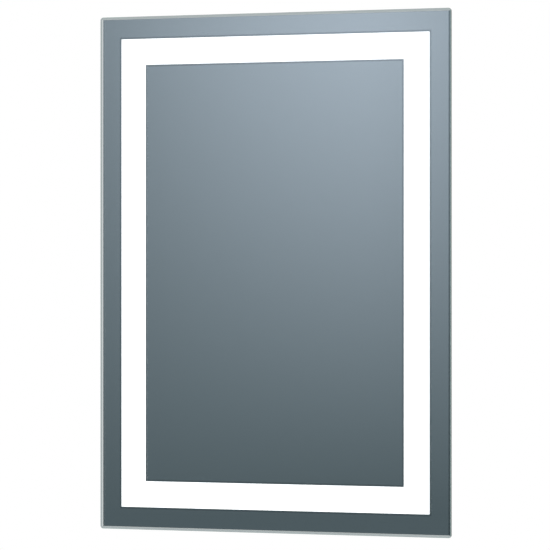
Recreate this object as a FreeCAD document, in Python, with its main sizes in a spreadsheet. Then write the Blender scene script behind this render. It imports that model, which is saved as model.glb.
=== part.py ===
import FreeCAD, Part
import math
import os
import re

import Sketcher

# A lighted bathroom mirror that hangs on a wall rail. A float glass pane carries the silver,
# with a frosted band left clear of it. Behind the band runs a mitred frame of aluminium
# trough rails with the light strips on its floor and opal diffusers near its mouth. A sheet
# steel panel closes the back and holds the power supply, the wiring tray and the hook rail.
#
# Axes: X to the right, Z up, Y into the wall. The wall's surface is the plane Y = 0 and the
# mirror faces -Y. The origin is the middle of the wall rail's two screw holes.

os.makedirs("parts", exist_ok=True)
document = FreeCAD.newDocument("lighted_mirror")
sheet = document.addObject("Spreadsheet::Sheet", "dims")
Vector = FreeCAD.Vector


# ---------------------------------------------------------------- driving dimensions, mm

sizes = {
    # The pane.
    "glass_width": 500,  # pane, side to side
    "glass_height": 700,  # pane, top to bottom
    "glass_thickness": 6,  # pane, front to back
    "glass_corner_radius": 4,  # pane's corners, seen from the front
    "glass_edge_flat": 0.8,  # flat left in the middle of the rounded edge
    "hang_drop": 120,  # from the pane's top down to the wall rail's screws
    # The lit band and the layers on the pane's back.
    "band_margin": 30.5,  # pane's edge to the lit band
    "band_width": 35.5,  # lit band, outer edge to inner edge
    "silver_setback": 3.4,  # pane's edge to the silver
    "coat_thickness": 0.2,  # silver layer and frosted layer
    "film_thickness": 0.3,  # safety film over the silver
    "film_setback": 4.2,  # pane's edge to the safety film
    "film_band_gap": 0.6,  # safety film's edge back from the lit band
    "tape_thickness": 1,  # foam tape between film and frame
    "tape_inset": 1,  # foam tape's edge back from the flange's edges
    # The frame rails.
    "rail_depth": 30,  # trough rails, front to back
    "rail_wall": 1.5,  # wall of the trough rails
    "flange_width": 12,  # rails' flanges beside the trough
    "trough_clear": 1,  # trough's wall back from the lit band's edge
    "ledge_width": 1,  # ledge under the diffuser's edge
    "ledge_thickness": 1,  # ledge, front to back
    "diffuser_thickness": 2,  # opal diffuser
    "diffuser_recess": 0.2,  # diffuser's face behind the flanges' face
    "diffuser_clear": 0.4,  # diffuser's edges back from the trough's walls
    "rib_width": 1,  # guide rib beside a light strip, as high as the strip
    # The light strips.
    "strip_width": 10,  # light strip's board, edge to edge
    "strip_thickness": 1.2,  # light strip's board
    "strip_clear": 0.2,  # light strip's edge to a guide rib
    "strip_end_gap": 14,  # light strip's end back from the crossing strip's middle
    "chip_length": 3.5,  # light chip along the strip
    "chip_width": 2.8,  # light chip across the strip
    "chip_height": 0.8,  # light chip above the strip
    "chip_pitch": 16.6,  # one light chip to the next
    "chip_end_gap": 9,  # strip's end to its first chip's middle
    # Corner angles and rivets.
    "angle_leg": 24,  # corner angle's legs
    "angle_thickness": 1.5,  # corner angle's sheet
    "angle_depth": 16,  # corner angle, front to back
    "angle_bend": 1,  # corner angle's inner bend radius
    "rivet_first": 8,  # corner to the first rivet of a leg
    "rivet_second": 18,  # corner to the second rivet of a leg
    "rivet_radius": 1.6,  # rivet shank
    "rivet_head_radius": 3.2,  # rivet head
    "rivet_head_height": 0.9,  # rivet head
    "rivet_tail_radius": 2.3,  # rivet's swollen tail
    "rivet_tail_length": 2,  # rivet's swollen tail
    "hole_clear": 0.05,  # hole's wall to the shank in it
    # The back panel.
    "wall_gap": 8,  # wall to the back panel
    "panel_thickness": 1,  # back panel's sheet
    "panel_inset": 2,  # panel's edge in from the rails' outer walls
    "panel_corner_radius": 6,  # back panel's corners
    "panel_screw_inset": 8,  # rail's outer wall to the panel screws
    "panel_screw_corner": 70,  # pane's side to the nearest panel screw
    "screw_radius": 1.75,  # panel screw's shank
    "screw_length": 8,  # panel screw's shank
    "vent_length": 60,  # vent slot
    "vent_height": 3,  # vent slot
    "vent_pitch": 7,  # one vent slot to the next
    "vent_count": 6,  # vent slots in a bank
    "upper_vent_drop": 36,  # wall screws down to the upper bank
    "lower_vent_rise": 110,  # pane's bottom up to the lower bank
    # The wall rail and the hook rail that hangs on it.
    "wall_rail_length": 360,  # wall rail, side to side
    "hook_rail_length": 340,  # hook rail, side to side
    "rail_sheet": 2,  # sheet of the wall rail and the hook rail
    "wall_rail_below": 12,  # screws down to the wall rail's lower edge
    "wall_rail_above": 12,  # screws up to the top of its step
    "lip_offset": 4,  # wall to the back of the wall rail's lip
    "lip_height": 12,  # wall rail's lip above its step
    "hook_wall_gap": 1,  # wall to the hook's lip
    "hook_bottom_gap": 1,  # hook's lip above the wall rail's step
    "hook_base_height": 26,  # hook rail's base on the panel
    "wall_hole_radius": 2.75,  # wall rail's screw holes
    "wall_hole_spacing": 300,  # wall rail's screw holes, one to the other
    "hook_rivet_spacing": 100,  # one hook rivet to the next
    "hook_rivet_count": 4,  # rivets along the hook rail
    # Rubber bumpers that keep the mirror's foot off the wall.
    "bumper_radius": 10,  # rubber bumper
    "bumper_side_inset": 60,  # pane's side to the bumpers' middle
    "bumper_rise": 60,  # pane's bottom to the bumpers' middle
    # The wiring tray and what is in it.
    "tray_driver_gap": 62,  # power supply's case to the wiring tray
    "tray_middle_drop": 130,  # wall screws down to the tray's middle
    "tray_width": 80,  # wiring tray, side to side
    "tray_height": 60,  # wiring tray, top to bottom
    "tray_depth": 22,  # wiring tray, front to back
    "tray_wall": 1,  # wiring tray's sheet
    "tray_flange": 9,  # wiring tray's riveted flanges
    "opening_lip": 7,  # tray's wall to the panel's opening
    "tray_rivet_rise": 20,  # tray's middle to its rivets
    "cover_thickness": 1,  # wiring cover's sheet
    "cover_overlap": 8,  # wiring cover past the opening's edge
    "cover_screw_inset": 3.5,  # opening's edge out to the cover screws
    "cover_screw_radius": 1.2,  # cover screw's shank
    "cover_screw_length": 5,  # cover screw's shank
    "cable_radius": 4.5,  # supply cable the grommet is made for
    "grommet_right": 22,  # tray's middle to the grommet
    "grommet_wall": 2,  # grommet's rubber in the cover's hole
    "grommet_flange": 2.5,  # grommet's flanges past the hole
    "grommet_flange_depth": 2,  # each grommet flange
    "pole_pitch": 10,  # one terminal to the next
    "block_length": 18,  # terminal block, wire side to wire side
    "block_depth": 14,  # terminal block, front to back
    "block_left": 20,  # tray's middle to the terminal block's left side
    "terminal_hole_radius": 2,  # terminal's wire hole
    "well_radius": 2.4,  # terminal's screw well
    "well_depth": 6,  # terminal's screw well
    "clamp_right": 8,  # tray's middle to the cable clamp
    "clamp_width": 8,  # cable clamp's strap
    "clamp_thickness": 1.5,  # cable clamp's strap
    "clamp_foot": 7,  # cable clamp's feet
    "clamp_clear": 0.5,  # cable clamp's arch to the cable
    "clamp_screw_radius": 1.45,  # clamp screw's shank
    "clamp_screw_length": 6,  # clamp screw's shank
    "earth_right": 32,  # tray's middle to the earth screw
    "earth_drop": 20,  # tray's middle down to the earth screw
    "earth_screw_radius": 2,  # earth screw's shank
    "earth_tag_thickness": 0.8,  # earth tag's sheet
    "earth_tag_radius": 4,  # earth tag's ring
    # The power supply.
    "driver_rail_gap": 31.5,  # left rail's inner wall to the power supply's case
    "driver_middle_drop": 140,  # wall screws down to the power supply's middle
    "driver_length": 122,  # power supply's case, end to end
    "driver_height": 42,  # power supply's case, top to bottom
    "driver_depth": 22,  # power supply's case with its lid
    "driver_wall": 1.5,  # power supply's case and lid
    "lug_length": 11,  # power supply's fixing lugs
    "lug_height": 20,  # power supply's fixing lugs
    "lug_thickness": 2,  # power supply's fixing lugs
    "post_radius": 3,  # lid screw posts
    "post_inset": 5,  # case's outside to the middle of a post
    "standoff_height": 3,  # circuit board above the case's floor
    "standoff_radius": 2.5,  # circuit board's standoffs
    "board_length": 98,  # circuit board
    "board_height": 34,  # circuit board
    "board_thickness": 1.6,  # circuit board
    "standoff_inset": 4,  # circuit board's edge to a standoff
    "core_length": 22,  # transformer's core
    "core_height": 20,  # transformer's core
    "core_depth": 12,  # transformer's core
    "winding_length": 14,  # transformer's winding
    "winding_proud": 3,  # transformer's winding past its core
    "capacitor_radius": 4.5,  # capacitors
    "capacitor_height": 12,  # capacitors
    "capacitor_gap": 1.5,  # one capacitor to the next
    "choke_radius": 7.5,  # choke's wound ring, outside
    "choke_bore": 3.2,  # choke's wound ring, inside
    "choke_height": 5,  # choke's wound ring, off the board
    "choke_rounding": 1.2,  # choke's wound ring, its edges
    "lid_screw_length": 7,  # lid screw's shank
    "lid_screw_radius": 1.1,  # lid screw's shank
    # The leads inside.
    "input_lead_radius": 2.5,  # sheathed lead from the terminals to the power supply
    "output_lead_radius": 1.5,  # lead from the power supply to the left strip
    "core_wire_radius": 0.9,  # single core
    "jumper_radius": 0.8,  # strip to strip jumper
    "lead_hole_clear": 0.4,  # hole's or bush's wall to the lead in it
    "bush_wall": 1,  # rubber bush's wall
    "bush_flange": 1,  # rubber bush's flanges past its hole
    "output_lead_rise": 22,  # power supply's middle up to the rail's lead hole
    "clip_width": 6,  # lead clip along the lead
    "clip_wall": 1,  # lead clip's ring
    "clip_base": 12,  # lead clip's sticky base, square
    "clip_base_thickness": 1.5,  # lead clip's sticky base
}

for row, (name, length) in enumerate(sizes.items(), 1):
    sheet.set(f"A{row}", name.replace("_", " "))
    sheet.set(f"B{row}", str(length))
    sheet.setAlias(f"B{row}", name)


# ------------------------------------------------- places worked out from the dimensions

places = {
    # seen from the front
    "half_width": "glass_width / 2",
    "half_height": "glass_height / 2",
    "glass_bottom": "hang_drop - glass_height",
    "glass_middle": "hang_drop - glass_height / 2",
    # in from the pane's edge
    "band_inner": "band_margin + band_width",
    "trough_outer": "band_margin - trough_clear",
    "wall_outer": "trough_outer - rail_wall",
    "flange_outer": "wall_outer - flange_width",
    "trough_inner": "band_inner + trough_clear",
    "wall_inner": "trough_inner + rail_wall",
    "flange_inner": "wall_inner + flange_width",
    "strip_line": "(trough_outer + trough_inner) / 2",
    "panel_edge": "wall_outer + panel_inset",
    "panel_screw_line": "wall_outer + panel_screw_inset",
    # from the wall towards the room
    "panel_back": "-wall_gap",
    "panel_front": "panel_back - panel_thickness",
    "floor_front": "panel_front - rail_wall",
    "rail_front": "panel_front - rail_depth",
    "ledge_front": "rail_front + diffuser_recess + diffuser_thickness",
    "tape_front": "rail_front - tape_thickness",
    "film_front": "tape_front - film_thickness",
    "glass_back": "film_front - coat_thickness",
    "glass_front": "glass_back - glass_thickness",
    "strip_front": "floor_front - strip_thickness",
    "angle_middle": "(rail_front + panel_front) / 2",
    # the light strips' lengths
    "long_strip": "glass_height - 2 * strip_line - 2 * strip_end_gap",
    "short_strip": "glass_width - 2 * strip_line - 2 * strip_end_gap",
    # the rails on the wall and on the panel
    "lip_front": "-lip_offset - rail_sheet",
    "lip_top": "wall_rail_above + lip_height",
    "hook_front": "panel_back + rail_sheet",
    "hook_lip_back": "-hook_wall_gap",
    "hook_top": "lip_top + hook_base_height",
    "hook_rivet_line": "lip_top + rail_sheet + (hook_base_height - rail_sheet) / 2",
    # the wiring tray, which follows the power supply
    "tray_left": "driver_right + tray_driver_gap",
    "tray_x": "tray_left + tray_width / 2",
    "tray_right": "tray_left + tray_width",
    "tray_z": "-tray_middle_drop",
    "tray_floor": "panel_front - tray_depth + tray_wall",
    "opening_half_width": "tray_width / 2 - opening_lip",
    "opening_half_height": "tray_height / 2 - opening_lip",
    "cover_front": "panel_back",
    "cover_back": "cover_front + cover_thickness",
    "grommet_x": "tray_x + grommet_right",
    "grommet_hole": "cable_radius + grommet_wall",
    "block_x": "tray_x - block_left",
    "block_back": "tray_floor + block_depth",
    "wire_line": "block_back - well_depth - terminal_hole_radius",
    "core_line": "block_back - well_depth - core_wire_radius",
    "clamp_x": "tray_x + clamp_right",
    "clamp_arch": "cable_radius + clamp_clear",
    "earth_x": "tray_x + earth_right",
    "earth_z": "tray_z - earth_drop",
    # the power supply, which follows the left rail
    "driver_left": "-half_width + wall_inner + driver_rail_gap",
    "driver_x": "driver_left + driver_length / 2",
    "driver_right": "driver_left + driver_length",
    "driver_z": "-driver_middle_drop",
    "driver_floor": "panel_front - driver_wall",
    "lid_back": "panel_front - driver_depth + driver_wall",
    "board_back": "driver_floor - standoff_height",
    "board_front": "board_back - board_thickness",
    "input_line": "board_front - input_lead_radius",
    "output_line": "board_front - output_lead_radius",
    "input_hole": "input_lead_radius + lead_hole_clear",
    "output_hole": "output_lead_radius + lead_hole_clear",
    "output_lead_z": "driver_z + output_lead_rise",
    "strip_lead_line": "strip_front - output_lead_radius",
}


def bound(words):
    """An expression in the names above, with every name turned into its cell."""
    def swap(match):
        name = match.group(0)
        if name in places:
            return "(" + bound(places[name]) + ")"
        if name in sizes:
            return "dims." + name
        return name
    return re.sub(r"[A-Za-z_]+", swap, str(words))


def number(words):
    """The present value of an expression in the names above."""
    return float(sheet.evalExpression(bound(words)))


document.recompute()


# --------------------------------------------------------------- ways to make the pieces

finished = []


def keep(piece, label):
    """Name a finished piece of the mirror, to be written out as a file of its own."""
    piece.Label = label
    finished.append(piece)
    return piece


def tie(piece, **expressions):
    """Bind properties of an object to expressions; x, y and z are its place."""
    for name, words in expressions.items():
        path = f"Placement.Base.{name}" if name in "xyz" else name
        piece.setExpression(path, bound(words))


def turn(piece, axis, angle):
    """Turn an object about an axis of the mirror."""
    piece.Placement = FreeCAD.Placement(piece.Placement.Base, FreeCAD.Rotation(Vector(*axis), angle))


AXES = {"X": (1, 0, 0), "Y": (0, 1, 0), "Z": (0, 0, 1)}


def block(low, high, name="block"):
    """A plain block between two corners."""
    box = document.addObject("Part::Box", name)
    spans = [f"({top}) - ({bottom})" for bottom, top in zip(low, high)]
    tie(box, Length=spans[0], Width=spans[1], Height=spans[2], x=low[0], y=low[1], z=low[2])
    return box


def rod(radius, start, end, x, z, name="rod"):
    """A round rod along Y from start out to end, which lies nearer to the wall."""
    cylinder = document.addObject("Part::Cylinder", name)
    turn(cylinder, AXES["X"], -90)
    tie(cylinder, Radius=radius, Height=f"({end}) - ({start})", x=x, y=start, z=z)
    return cylinder


def together(pieces, name="group"):
    """Separate solids that are one group."""
    group = document.addObject("Part::Compound", name)
    group.Links = pieces
    return group


def less(base, tools, name="cut"):
    """A piece with others cut out of it."""
    cut = document.addObject("Part::Cut", name)
    cut.Base = base
    cut.Tool = tools[0] if len(tools) == 1 else together(tools)
    return cut


def joined(pieces, name="joined"):
    """Blocks and rods that are one solid."""
    fuse = document.addObject("Part::MultiFuse", name)
    fuse.Shapes = pieces
    fuse.Refine = True
    return fuse


def copies(master, spots, name="copies"):
    """Like pieces: each spot is (x, y, z) or (x, y, z, axis, angle)."""
    links = []
    for spot in spots:
        link = document.addObject("App::Link", name + "_one")
        link.LinkedObject = master
        if len(spot) > 3:
            turn(link, AXES[spot[3]], spot[4])
        tie(link, x=spot[0], y=spot[1], z=spot[2])
        links.append(link)
    return together(links, name)


def body(name):
    return document.addObject("PartDesign::Body", name)


def plane(part, role):
    return next(feature for feature in part.Origin.OriginFeatures if feature.Role == role)


def sketch_on(part, role, offset="0"):
    """An empty sketch on one of a body's planes, moved along the plane's normal."""
    sketch = part.newObject("Sketcher::SketchObject", "sketch")
    sketch.AttachmentSupport = [(plane(part, role), "")]
    sketch.MapMode = "FlatFace"
    if offset != "0":
        sketch.setExpression(".AttachmentOffset.Base.z", bound(offset))
    return sketch


def pin_point(sketch, edge, end, across, up):
    """Hold one point of a sketch at a place given by expressions."""
    for kind, words in (("DistanceX", across), ("DistanceY", up)):
        constraint = sketch.addConstraint(Sketcher.Constraint(kind, -1, 1, edge, end, number(words)))
        sketch.setExpression(f"Constraints[{constraint}]", bound(words))


def draw_loop(sketch, points):
    """A closed outline of straight lines through points given by expressions."""
    corners = [Vector(number(across), number(up), 0) for across, up in points]
    first = sketch.GeometryCount
    for index, corner in enumerate(corners):
        following = corners[(index + 1) % len(corners)]
        sketch.addGeometry(Part.LineSegment(corner, following), False)
    for index, (across, up) in enumerate(points):
        following = first + (index + 1) % len(points)
        sketch.addConstraint(Sketcher.Constraint("Coincident", first + index, 2, following, 1))
        pin_point(sketch, first + index, 1, across, up)


def draw_box(sketch, left, right, bottom, top):
    draw_loop(sketch, [(left, bottom), (right, bottom), (right, top), (left, top)])


def draw_circle(sketch, across, up, radius):
    """A circle whose middle and radius are given by expressions."""
    middle = Vector(number(across), number(up), 0)
    edge = sketch.addGeometry(Part.Circle(middle, Vector(0, 0, 1), number(radius)), False)
    pin_point(sketch, edge, 3, across, up)
    constraint = sketch.addConstraint(Sketcher.Constraint("Radius", edge, number(radius)))
    sketch.setExpression(f"Constraints[{constraint}]", bound(radius))


def pad(part, sketch, length, symmetric=False):
    feature = part.newObject("PartDesign::Pad", "pad")
    feature.Profile = sketch
    feature.SideType = "Symmetric" if symmetric else "One side"
    feature.setExpression("Length", bound(length))
    document.recompute()
    return feature


def pocket(part, sketch, length=None):
    """Cut a sketch out of a body: right through both ways, or to a depth against its normal."""
    before = part.Shape.Volume
    feature = part.newObject("PartDesign::Pocket", "pocket")
    feature.Profile = sketch
    if length is None:
        feature.Type = "ThroughAll"
        feature.SideType = "Symmetric"
    else:
        feature.setExpression("Length", bound(length))
    document.recompute()
    if part.Shape.Volume >= before:
        raise RuntimeError(f"a pocket of {part.Label} cuts nothing")
    return feature


def repeat(part, feature, role, length, count):
    """Repeat a feature along an axis, at a pitch."""
    pattern = part.newObject("PartDesign::LinearPattern", "pattern")
    pattern.Originals = [feature]
    pattern.Direction = (plane(part, role), [""])
    pattern.Mode = "Spacing"
    pattern.setExpression("Offset", bound(length))
    pattern.setExpression("Occurrences", bound(count))
    part.Tip = pattern
    document.recompute()
    return pattern


def revolve(part, sketch):
    """Turn a sketch a full circle about its own upright axis."""
    feature = part.newObject("PartDesign::Revolution", "turned")
    feature.Profile = sketch
    feature.ReferenceAxis = (sketch, ["V_Axis"])
    feature.Angle = 360
    document.recompute()
    return feature


def round_edges(part, radius, wanted):
    """Round the edges for which wanted(edge's middle, edge's direction) holds."""
    tip = part.Tip
    names = []
    for index, edge in enumerate(tip.Shape.Edges):
        start, end = edge.Vertexes[0].Point, edge.Vertexes[-1].Point
        middle = edge.valueAt((edge.FirstParameter + edge.LastParameter) / 2)
        if wanted(middle, end - start):
            names.append(f"Edge{index + 1}")
    if not names:
        raise RuntimeError(f"no edge of {part.Label} is rounded")
    fillet = part.newObject("PartDesign::Fillet", "fillet")
    fillet.Base = (tip, names)
    fillet.setExpression("Radius", bound(radius))
    document.recompute()
    return fillet


def runs_along(direction, axis):
    """Whether a straight edge runs along X, Y or Z."""
    return direction.Length > 0 and direction.cross(Vector(*AXES[axis])).Length < 1e-6 * direction.Length


def plate(name, near, thickness):
    """A body and its sketch for a sheet that lies parallel to the wall, from near outwards."""
    part = body(name)
    return part, sketch_on(part, "XZ_Plane", f"-({near})")


def around(inset):
    """Left, right, bottom and top of a rectangle set in from the pane's edges."""
    return (f"-half_width + {inset}", f"half_width - {inset}",
            f"glass_bottom + {inset}", f"hang_drop - {inset}")


# ------------------------------------------------------------------------- mirror glass
# One pane of float glass with rounded corners and a polished edge, round front and back.

def make_glass():
    part, outline = plate("glass", "glass_back", "glass_thickness")
    draw_box(outline, *around("0"))
    pad(part, outline, "glass_thickness")
    round_edges(part, "glass_corner_radius", lambda middle, direction: runs_along(direction, "Y"))
    round_edges(part, "(glass_thickness - glass_edge_flat) / 2",
                lambda middle, direction: abs(direction.y) < 1e-6)
    return keep(part, "mirror_glass")


make_glass()


# --------------------------------------------------------- layers on the pane's back face
# Silver, frosting and safety film are thin sheets in the same outline as the lit band.

def sheet_piece(name, near, thickness, insets):
    """A sheet between rectangles at the given insets, each pair an outer and an inner edge."""
    part, outline = plate(name, near, thickness)
    for inset in insets:
        draw_box(outline, *around(inset))
    pad(part, outline, thickness)
    return part


def make_layers():
    silver = [sheet_piece("silver_border", "film_front", "coat_thickness", ["silver_setback", "band_margin"]),
              sheet_piece("silver_middle", "film_front", "coat_thickness", ["band_inner"])]
    keep(together(silver), "silver_coating")
    keep(sheet_piece("frosting", "film_front", "coat_thickness", ["band_margin", "band_inner"]), "etched_band")
    film = [sheet_piece("film_border", "tape_front", "film_thickness",
                        ["film_setback", "(band_margin - film_band_gap)"]),
            sheet_piece("film_middle", "tape_front", "film_thickness", ["(band_inner + film_band_gap)"])]
    keep(together(film), "safety_film")


make_layers()


# ------------------------------------------------------------------------ foam bond tape
# Strips of black foam tape, butted at the corners, hold the frame's flanges to the film.

def tape_ring(label, outer, inner):
    left, right, bottom, top = around(outer)
    inner_left, inner_right, inner_bottom, inner_top = around(inner)
    strips = [block((left, "tape_front", inner_top), (right, "rail_front", top)),
              block((left, "tape_front", bottom), (right, "rail_front", inner_bottom)),
              block((left, "tape_front", inner_bottom), (inner_left, "rail_front", inner_top)),
              block((inner_right, "tape_front", inner_bottom), (right, "rail_front", inner_top))]
    keep(together(strips), label)


tape_ring("bond_tape_outer", "(flange_outer + tape_inset)", "(wall_outer - tape_inset)")
tape_ring("bond_tape_inner", "(wall_inner + tape_inset)", "(flange_inner - tape_inset)")


# ------------------------------------------------------------------- pieces of each side
# What runs along a side of the mirror is drawn along X, with the pane's edge at Z = 0 and
# the pane's middle towards -Z, and is then turned to its side.

sides = {
    "top": {"half": "half_width", "x": "0", "z": "hang_drop", "angle": 0},
    "right": {"half": "half_height", "x": "half_width", "z": "glass_middle", "angle": 90},
    "bottom": {"half": "half_width", "x": "0", "z": "glass_bottom", "angle": 180},
    "left": {"half": "half_height", "x": "-half_width", "z": "glass_middle", "angle": -90},
}


def set_on_side(piece, side):
    turn(piece, AXES["Y"], sides[side]["angle"])
    tie(piece, x=sides[side]["x"], z=sides[side]["z"])
    return piece


def mitre(part, half, inner):
    """Cut both ends of a side's piece at 45 degrees, through the pane's corners."""
    ends = sketch_on(part, "XZ_Plane")
    past = "flange_width"
    deep = f"({inner} + {past})"
    for sign in ("", "-"):
        draw_loop(ends, [(f"{sign}({half} + {past})", past),
                         (f"{sign}({half} - {deep})", f"-{deep}"),
                         (f"{sign}({half} + {past})", f"-{deep}")])
    pocket(part, ends)


def make_rail(side):
    """A trough rail: flanges, walls, diffuser ledges and a floor with two guide ribs."""
    half = sides[side]["half"]
    part = body("rail_" + side)
    section = sketch_on(part, "YZ_Plane")
    ledge_back = "ledge_front + ledge_thickness"
    flange_back = "rail_front + rail_wall"
    rib_inside = "(strip_width / 2 + strip_clear)"
    rib_outside = "(strip_width / 2 + strip_clear + rib_width)"
    draw_loop(section, [
        ("rail_front", "-flange_outer"),
        ("rail_front", "-trough_outer"),
        ("ledge_front", "-trough_outer"),
        ("ledge_front", "-trough_outer - ledge_width"),
        (ledge_back, "-trough_outer - ledge_width"),
        (ledge_back, "-trough_outer"),
        ("floor_front", "-trough_outer"),
        ("floor_front", f"-strip_line + {rib_outside}"),
        ("strip_front", f"-strip_line + {rib_outside}"),
        ("strip_front", f"-strip_line + {rib_inside}"),
        ("floor_front", f"-strip_line + {rib_inside}"),
        ("floor_front", f"-strip_line - {rib_inside}"),
        ("strip_front", f"-strip_line - {rib_inside}"),
        ("strip_front", f"-strip_line - {rib_outside}"),
        ("floor_front", f"-strip_line - {rib_outside}"),
        ("floor_front", "-trough_inner"),
        (ledge_back, "-trough_inner"),
        (ledge_back, "-trough_inner + ledge_width"),
        ("ledge_front", "-trough_inner + ledge_width"),
        ("ledge_front", "-trough_inner"),
        ("rail_front", "-trough_inner"),
        ("rail_front", "-flange_inner"),
        (flange_back, "-flange_inner"),
        (flange_back, "-wall_inner"),
        ("panel_front", "-wall_inner"),
        ("panel_front", "-wall_outer"),
        (flange_back, "-wall_outer"),
        (flange_back, "-flange_outer"),
    ])
    pad(part, section, f"2 * {half}", symmetric=True)
    mitre(part, half, "flange_inner")

    screw_holes = sketch_on(part, "XZ_Plane")
    for across in (f"-({half} - panel_screw_corner)", "0", f"{half} - panel_screw_corner"):
        draw_circle(screw_holes, across, "-panel_screw_line", "screw_radius + hole_clear")
    pocket(part, screw_holes)

    # The rivet holes go through the inner wall only, from inside the trough.
    rivet_holes = sketch_on(part, "XY_Plane", "-trough_inner + rail_wall")
    for sign in ("-", ""):
        for reach in ("rivet_first", "rivet_second"):
            draw_circle(rivet_holes, f"{sign}({half} - wall_inner - {reach})", "angle_middle",
                        "rivet_radius + hole_clear")
    pocket(part, rivet_holes, "3 * rail_wall")

    if side == "left":
        lead_hole = sketch_on(part, "XY_Plane", "-trough_inner + rail_wall")
        draw_circle(lead_hole, "output_lead_z - glass_middle", "strip_lead_line", "output_hole")
        pocket(part, lead_hole, "3 * rail_wall")
    return keep(set_on_side(part, side), "frame_rail_" + side)


def make_diffuser(side):
    """An opal acrylic strip that rests on the trough's ledges, mitred at both ends."""
    half = sides[side]["half"]
    part = body("diffuser_" + side)
    section = sketch_on(part, "YZ_Plane")
    outer = "trough_outer + diffuser_clear"
    inner = "trough_inner - diffuser_clear"
    draw_box(section, "rail_front + diffuser_recess", "ledge_front", f"-({inner})", f"-({outer})")
    pad(part, section, f"2 * {half}", symmetric=True)
    mitre(part, half, "flange_inner")
    return keep(set_on_side(part, side), "diffuser_" + side)


def make_strip(side):
    """A light strip's white board, between the guide ribs on the trough's floor."""
    length = "short_strip" if side in ("top", "bottom") else "long_strip"
    part = body("strip_" + side)
    section = sketch_on(part, "YZ_Plane")
    draw_box(section, "strip_front", "floor_front",
             "-strip_line - strip_width / 2", "-strip_line + strip_width / 2")
    pad(part, section, length, symmetric=True)
    keep(set_on_side(part, side), "led_board_" + side)

    chips = body("chips_" + side)
    first = f"(-({length}) / 2 + chip_end_gap)"
    outline = sketch_on(chips, "XZ_Plane", "-strip_front")
    draw_box(outline, f"{first} - chip_length / 2", f"{first} + chip_length / 2",
             "-strip_line - chip_width / 2", "-strip_line + chip_width / 2")
    chip = pad(chips, outline, "chip_height")
    run = f"({length} - 2 * chip_end_gap)"
    gaps = f"round({run} / chip_pitch)"
    repeat(chips, chip, "X_Axis", f"{run} / {gaps}", f"{gaps} + 1")
    keep(set_on_side(chips, side), "led_chips_" + side)


for side in sides:
    make_rail(side)
for side in sides:
    make_diffuser(side)
for side in sides:
    make_strip(side)


# ------------------------------------------------------------- rivets and pan head screws
# Both are turned about Y with the head's underside at Y = 0 and the head towards the wall.

def make_rivet(name, grip):
    """A blind rivet: domed head, shank through the sheets, swollen tail behind them."""
    part = body(name)
    half_section = sketch_on(part, "XY_Plane")
    draw_loop(half_section, [
        ("0", "rivet_head_height"),
        ("rivet_head_radius / 2", "rivet_head_height"),
        ("rivet_head_radius", "rivet_head_height / 3"),
        ("rivet_head_radius", "0"),
        ("rivet_radius", "0"),
        ("rivet_radius", f"-({grip})"),
        ("rivet_tail_radius", f"-({grip})"),
        ("rivet_tail_radius", f"-({grip}) - rivet_tail_length * 2 / 3"),
        ("rivet_radius", f"-({grip}) - rivet_tail_length"),
        ("0", f"-({grip}) - rivet_tail_length"),
    ])
    revolve(part, half_section)
    return part


def make_screw(name, radius, length):
    """A pan head screw with a cross recess and a pointed shank."""
    part = body(name)
    half_section = sketch_on(part, "XY_Plane")
    head = f"(2 * {radius})"
    rise = f"({radius})"
    draw_loop(half_section, [
        ("0", rise),
        (f"{head} * 0.6", rise),
        (head, f"{rise} * 0.5"),
        (head, "0"),
        (radius, "0"),
        (radius, f"-({length}) + {radius}"),
        (f"{radius} * 0.2", f"-({length})"),
        ("0", f"-({length})"),
    ])
    revolve(part, half_section)
    for long_way, short_way in ((1, 0.25), (0.25, 1)):
        recess = sketch_on(part, "XZ_Plane", f"-{rise} * 0.4")
        draw_box(recess, f"-{radius} * {long_way}", f"{radius} * {long_way}",
                 f"-{radius} * {short_way}", f"{radius} * {short_way}")
        pocket(part, recess, rise)
    return part


# ------------------------------------------------------------------------ corner angles
# An angle of folded steel sits in each inner corner of the frame, two rivets to a leg.

corners = {
    "top_right": ("half_width - wall_inner", "hang_drop - wall_inner", 0, -1, -1),
    "bottom_right": ("half_width - wall_inner", "glass_bottom + wall_inner", 90, -1, 1),
    "bottom_left": ("-half_width + wall_inner", "glass_bottom + wall_inner", 180, 1, 1),
    "top_left": ("-half_width + wall_inner", "hang_drop - wall_inner", -90, 1, -1),
}


def make_angle(corner):
    corner_x, corner_z, angle = corners[corner][:3]
    part = body("angle_" + corner)
    outline = sketch_on(part, "XZ_Plane", "-angle_middle")
    draw_loop(outline, [("0", "0"), ("-angle_leg", "0"), ("-angle_leg", "-angle_thickness"),
                        ("-angle_thickness", "-angle_thickness"),
                        ("-angle_thickness", "-angle_leg"), ("0", "-angle_leg")])
    pad(part, outline, "angle_depth", symmetric=True)
    thickness = number("angle_thickness")
    round_edges(part, "angle_bend", lambda middle, direction: runs_along(direction, "Y")
                and abs(middle.x + thickness) < 1e-4 and abs(middle.z + thickness) < 1e-4)
    round_edges(part, "angle_bend + angle_thickness", lambda middle, direction: runs_along(direction, "Y")
                and abs(middle.x) < 1e-4 and abs(middle.z) < 1e-4)
    for role, offset in (("XY_Plane", "angle_thickness"), ("YZ_Plane", "angle_thickness")):
        holes = sketch_on(part, role, offset)
        for reach in ("rivet_first", "rivet_second"):
            place = (f"-{reach}", "angle_middle") if role == "XY_Plane" else ("angle_middle", f"-{reach}")
            draw_circle(holes, *place, "rivet_radius + hole_clear")
        pocket(part, holes, "3 * angle_thickness")
    turn(part, AXES["Y"], angle)
    tie(part, x=corner_x, z=corner_z)
    return keep(part, "corner_angle_" + corner)


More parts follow.
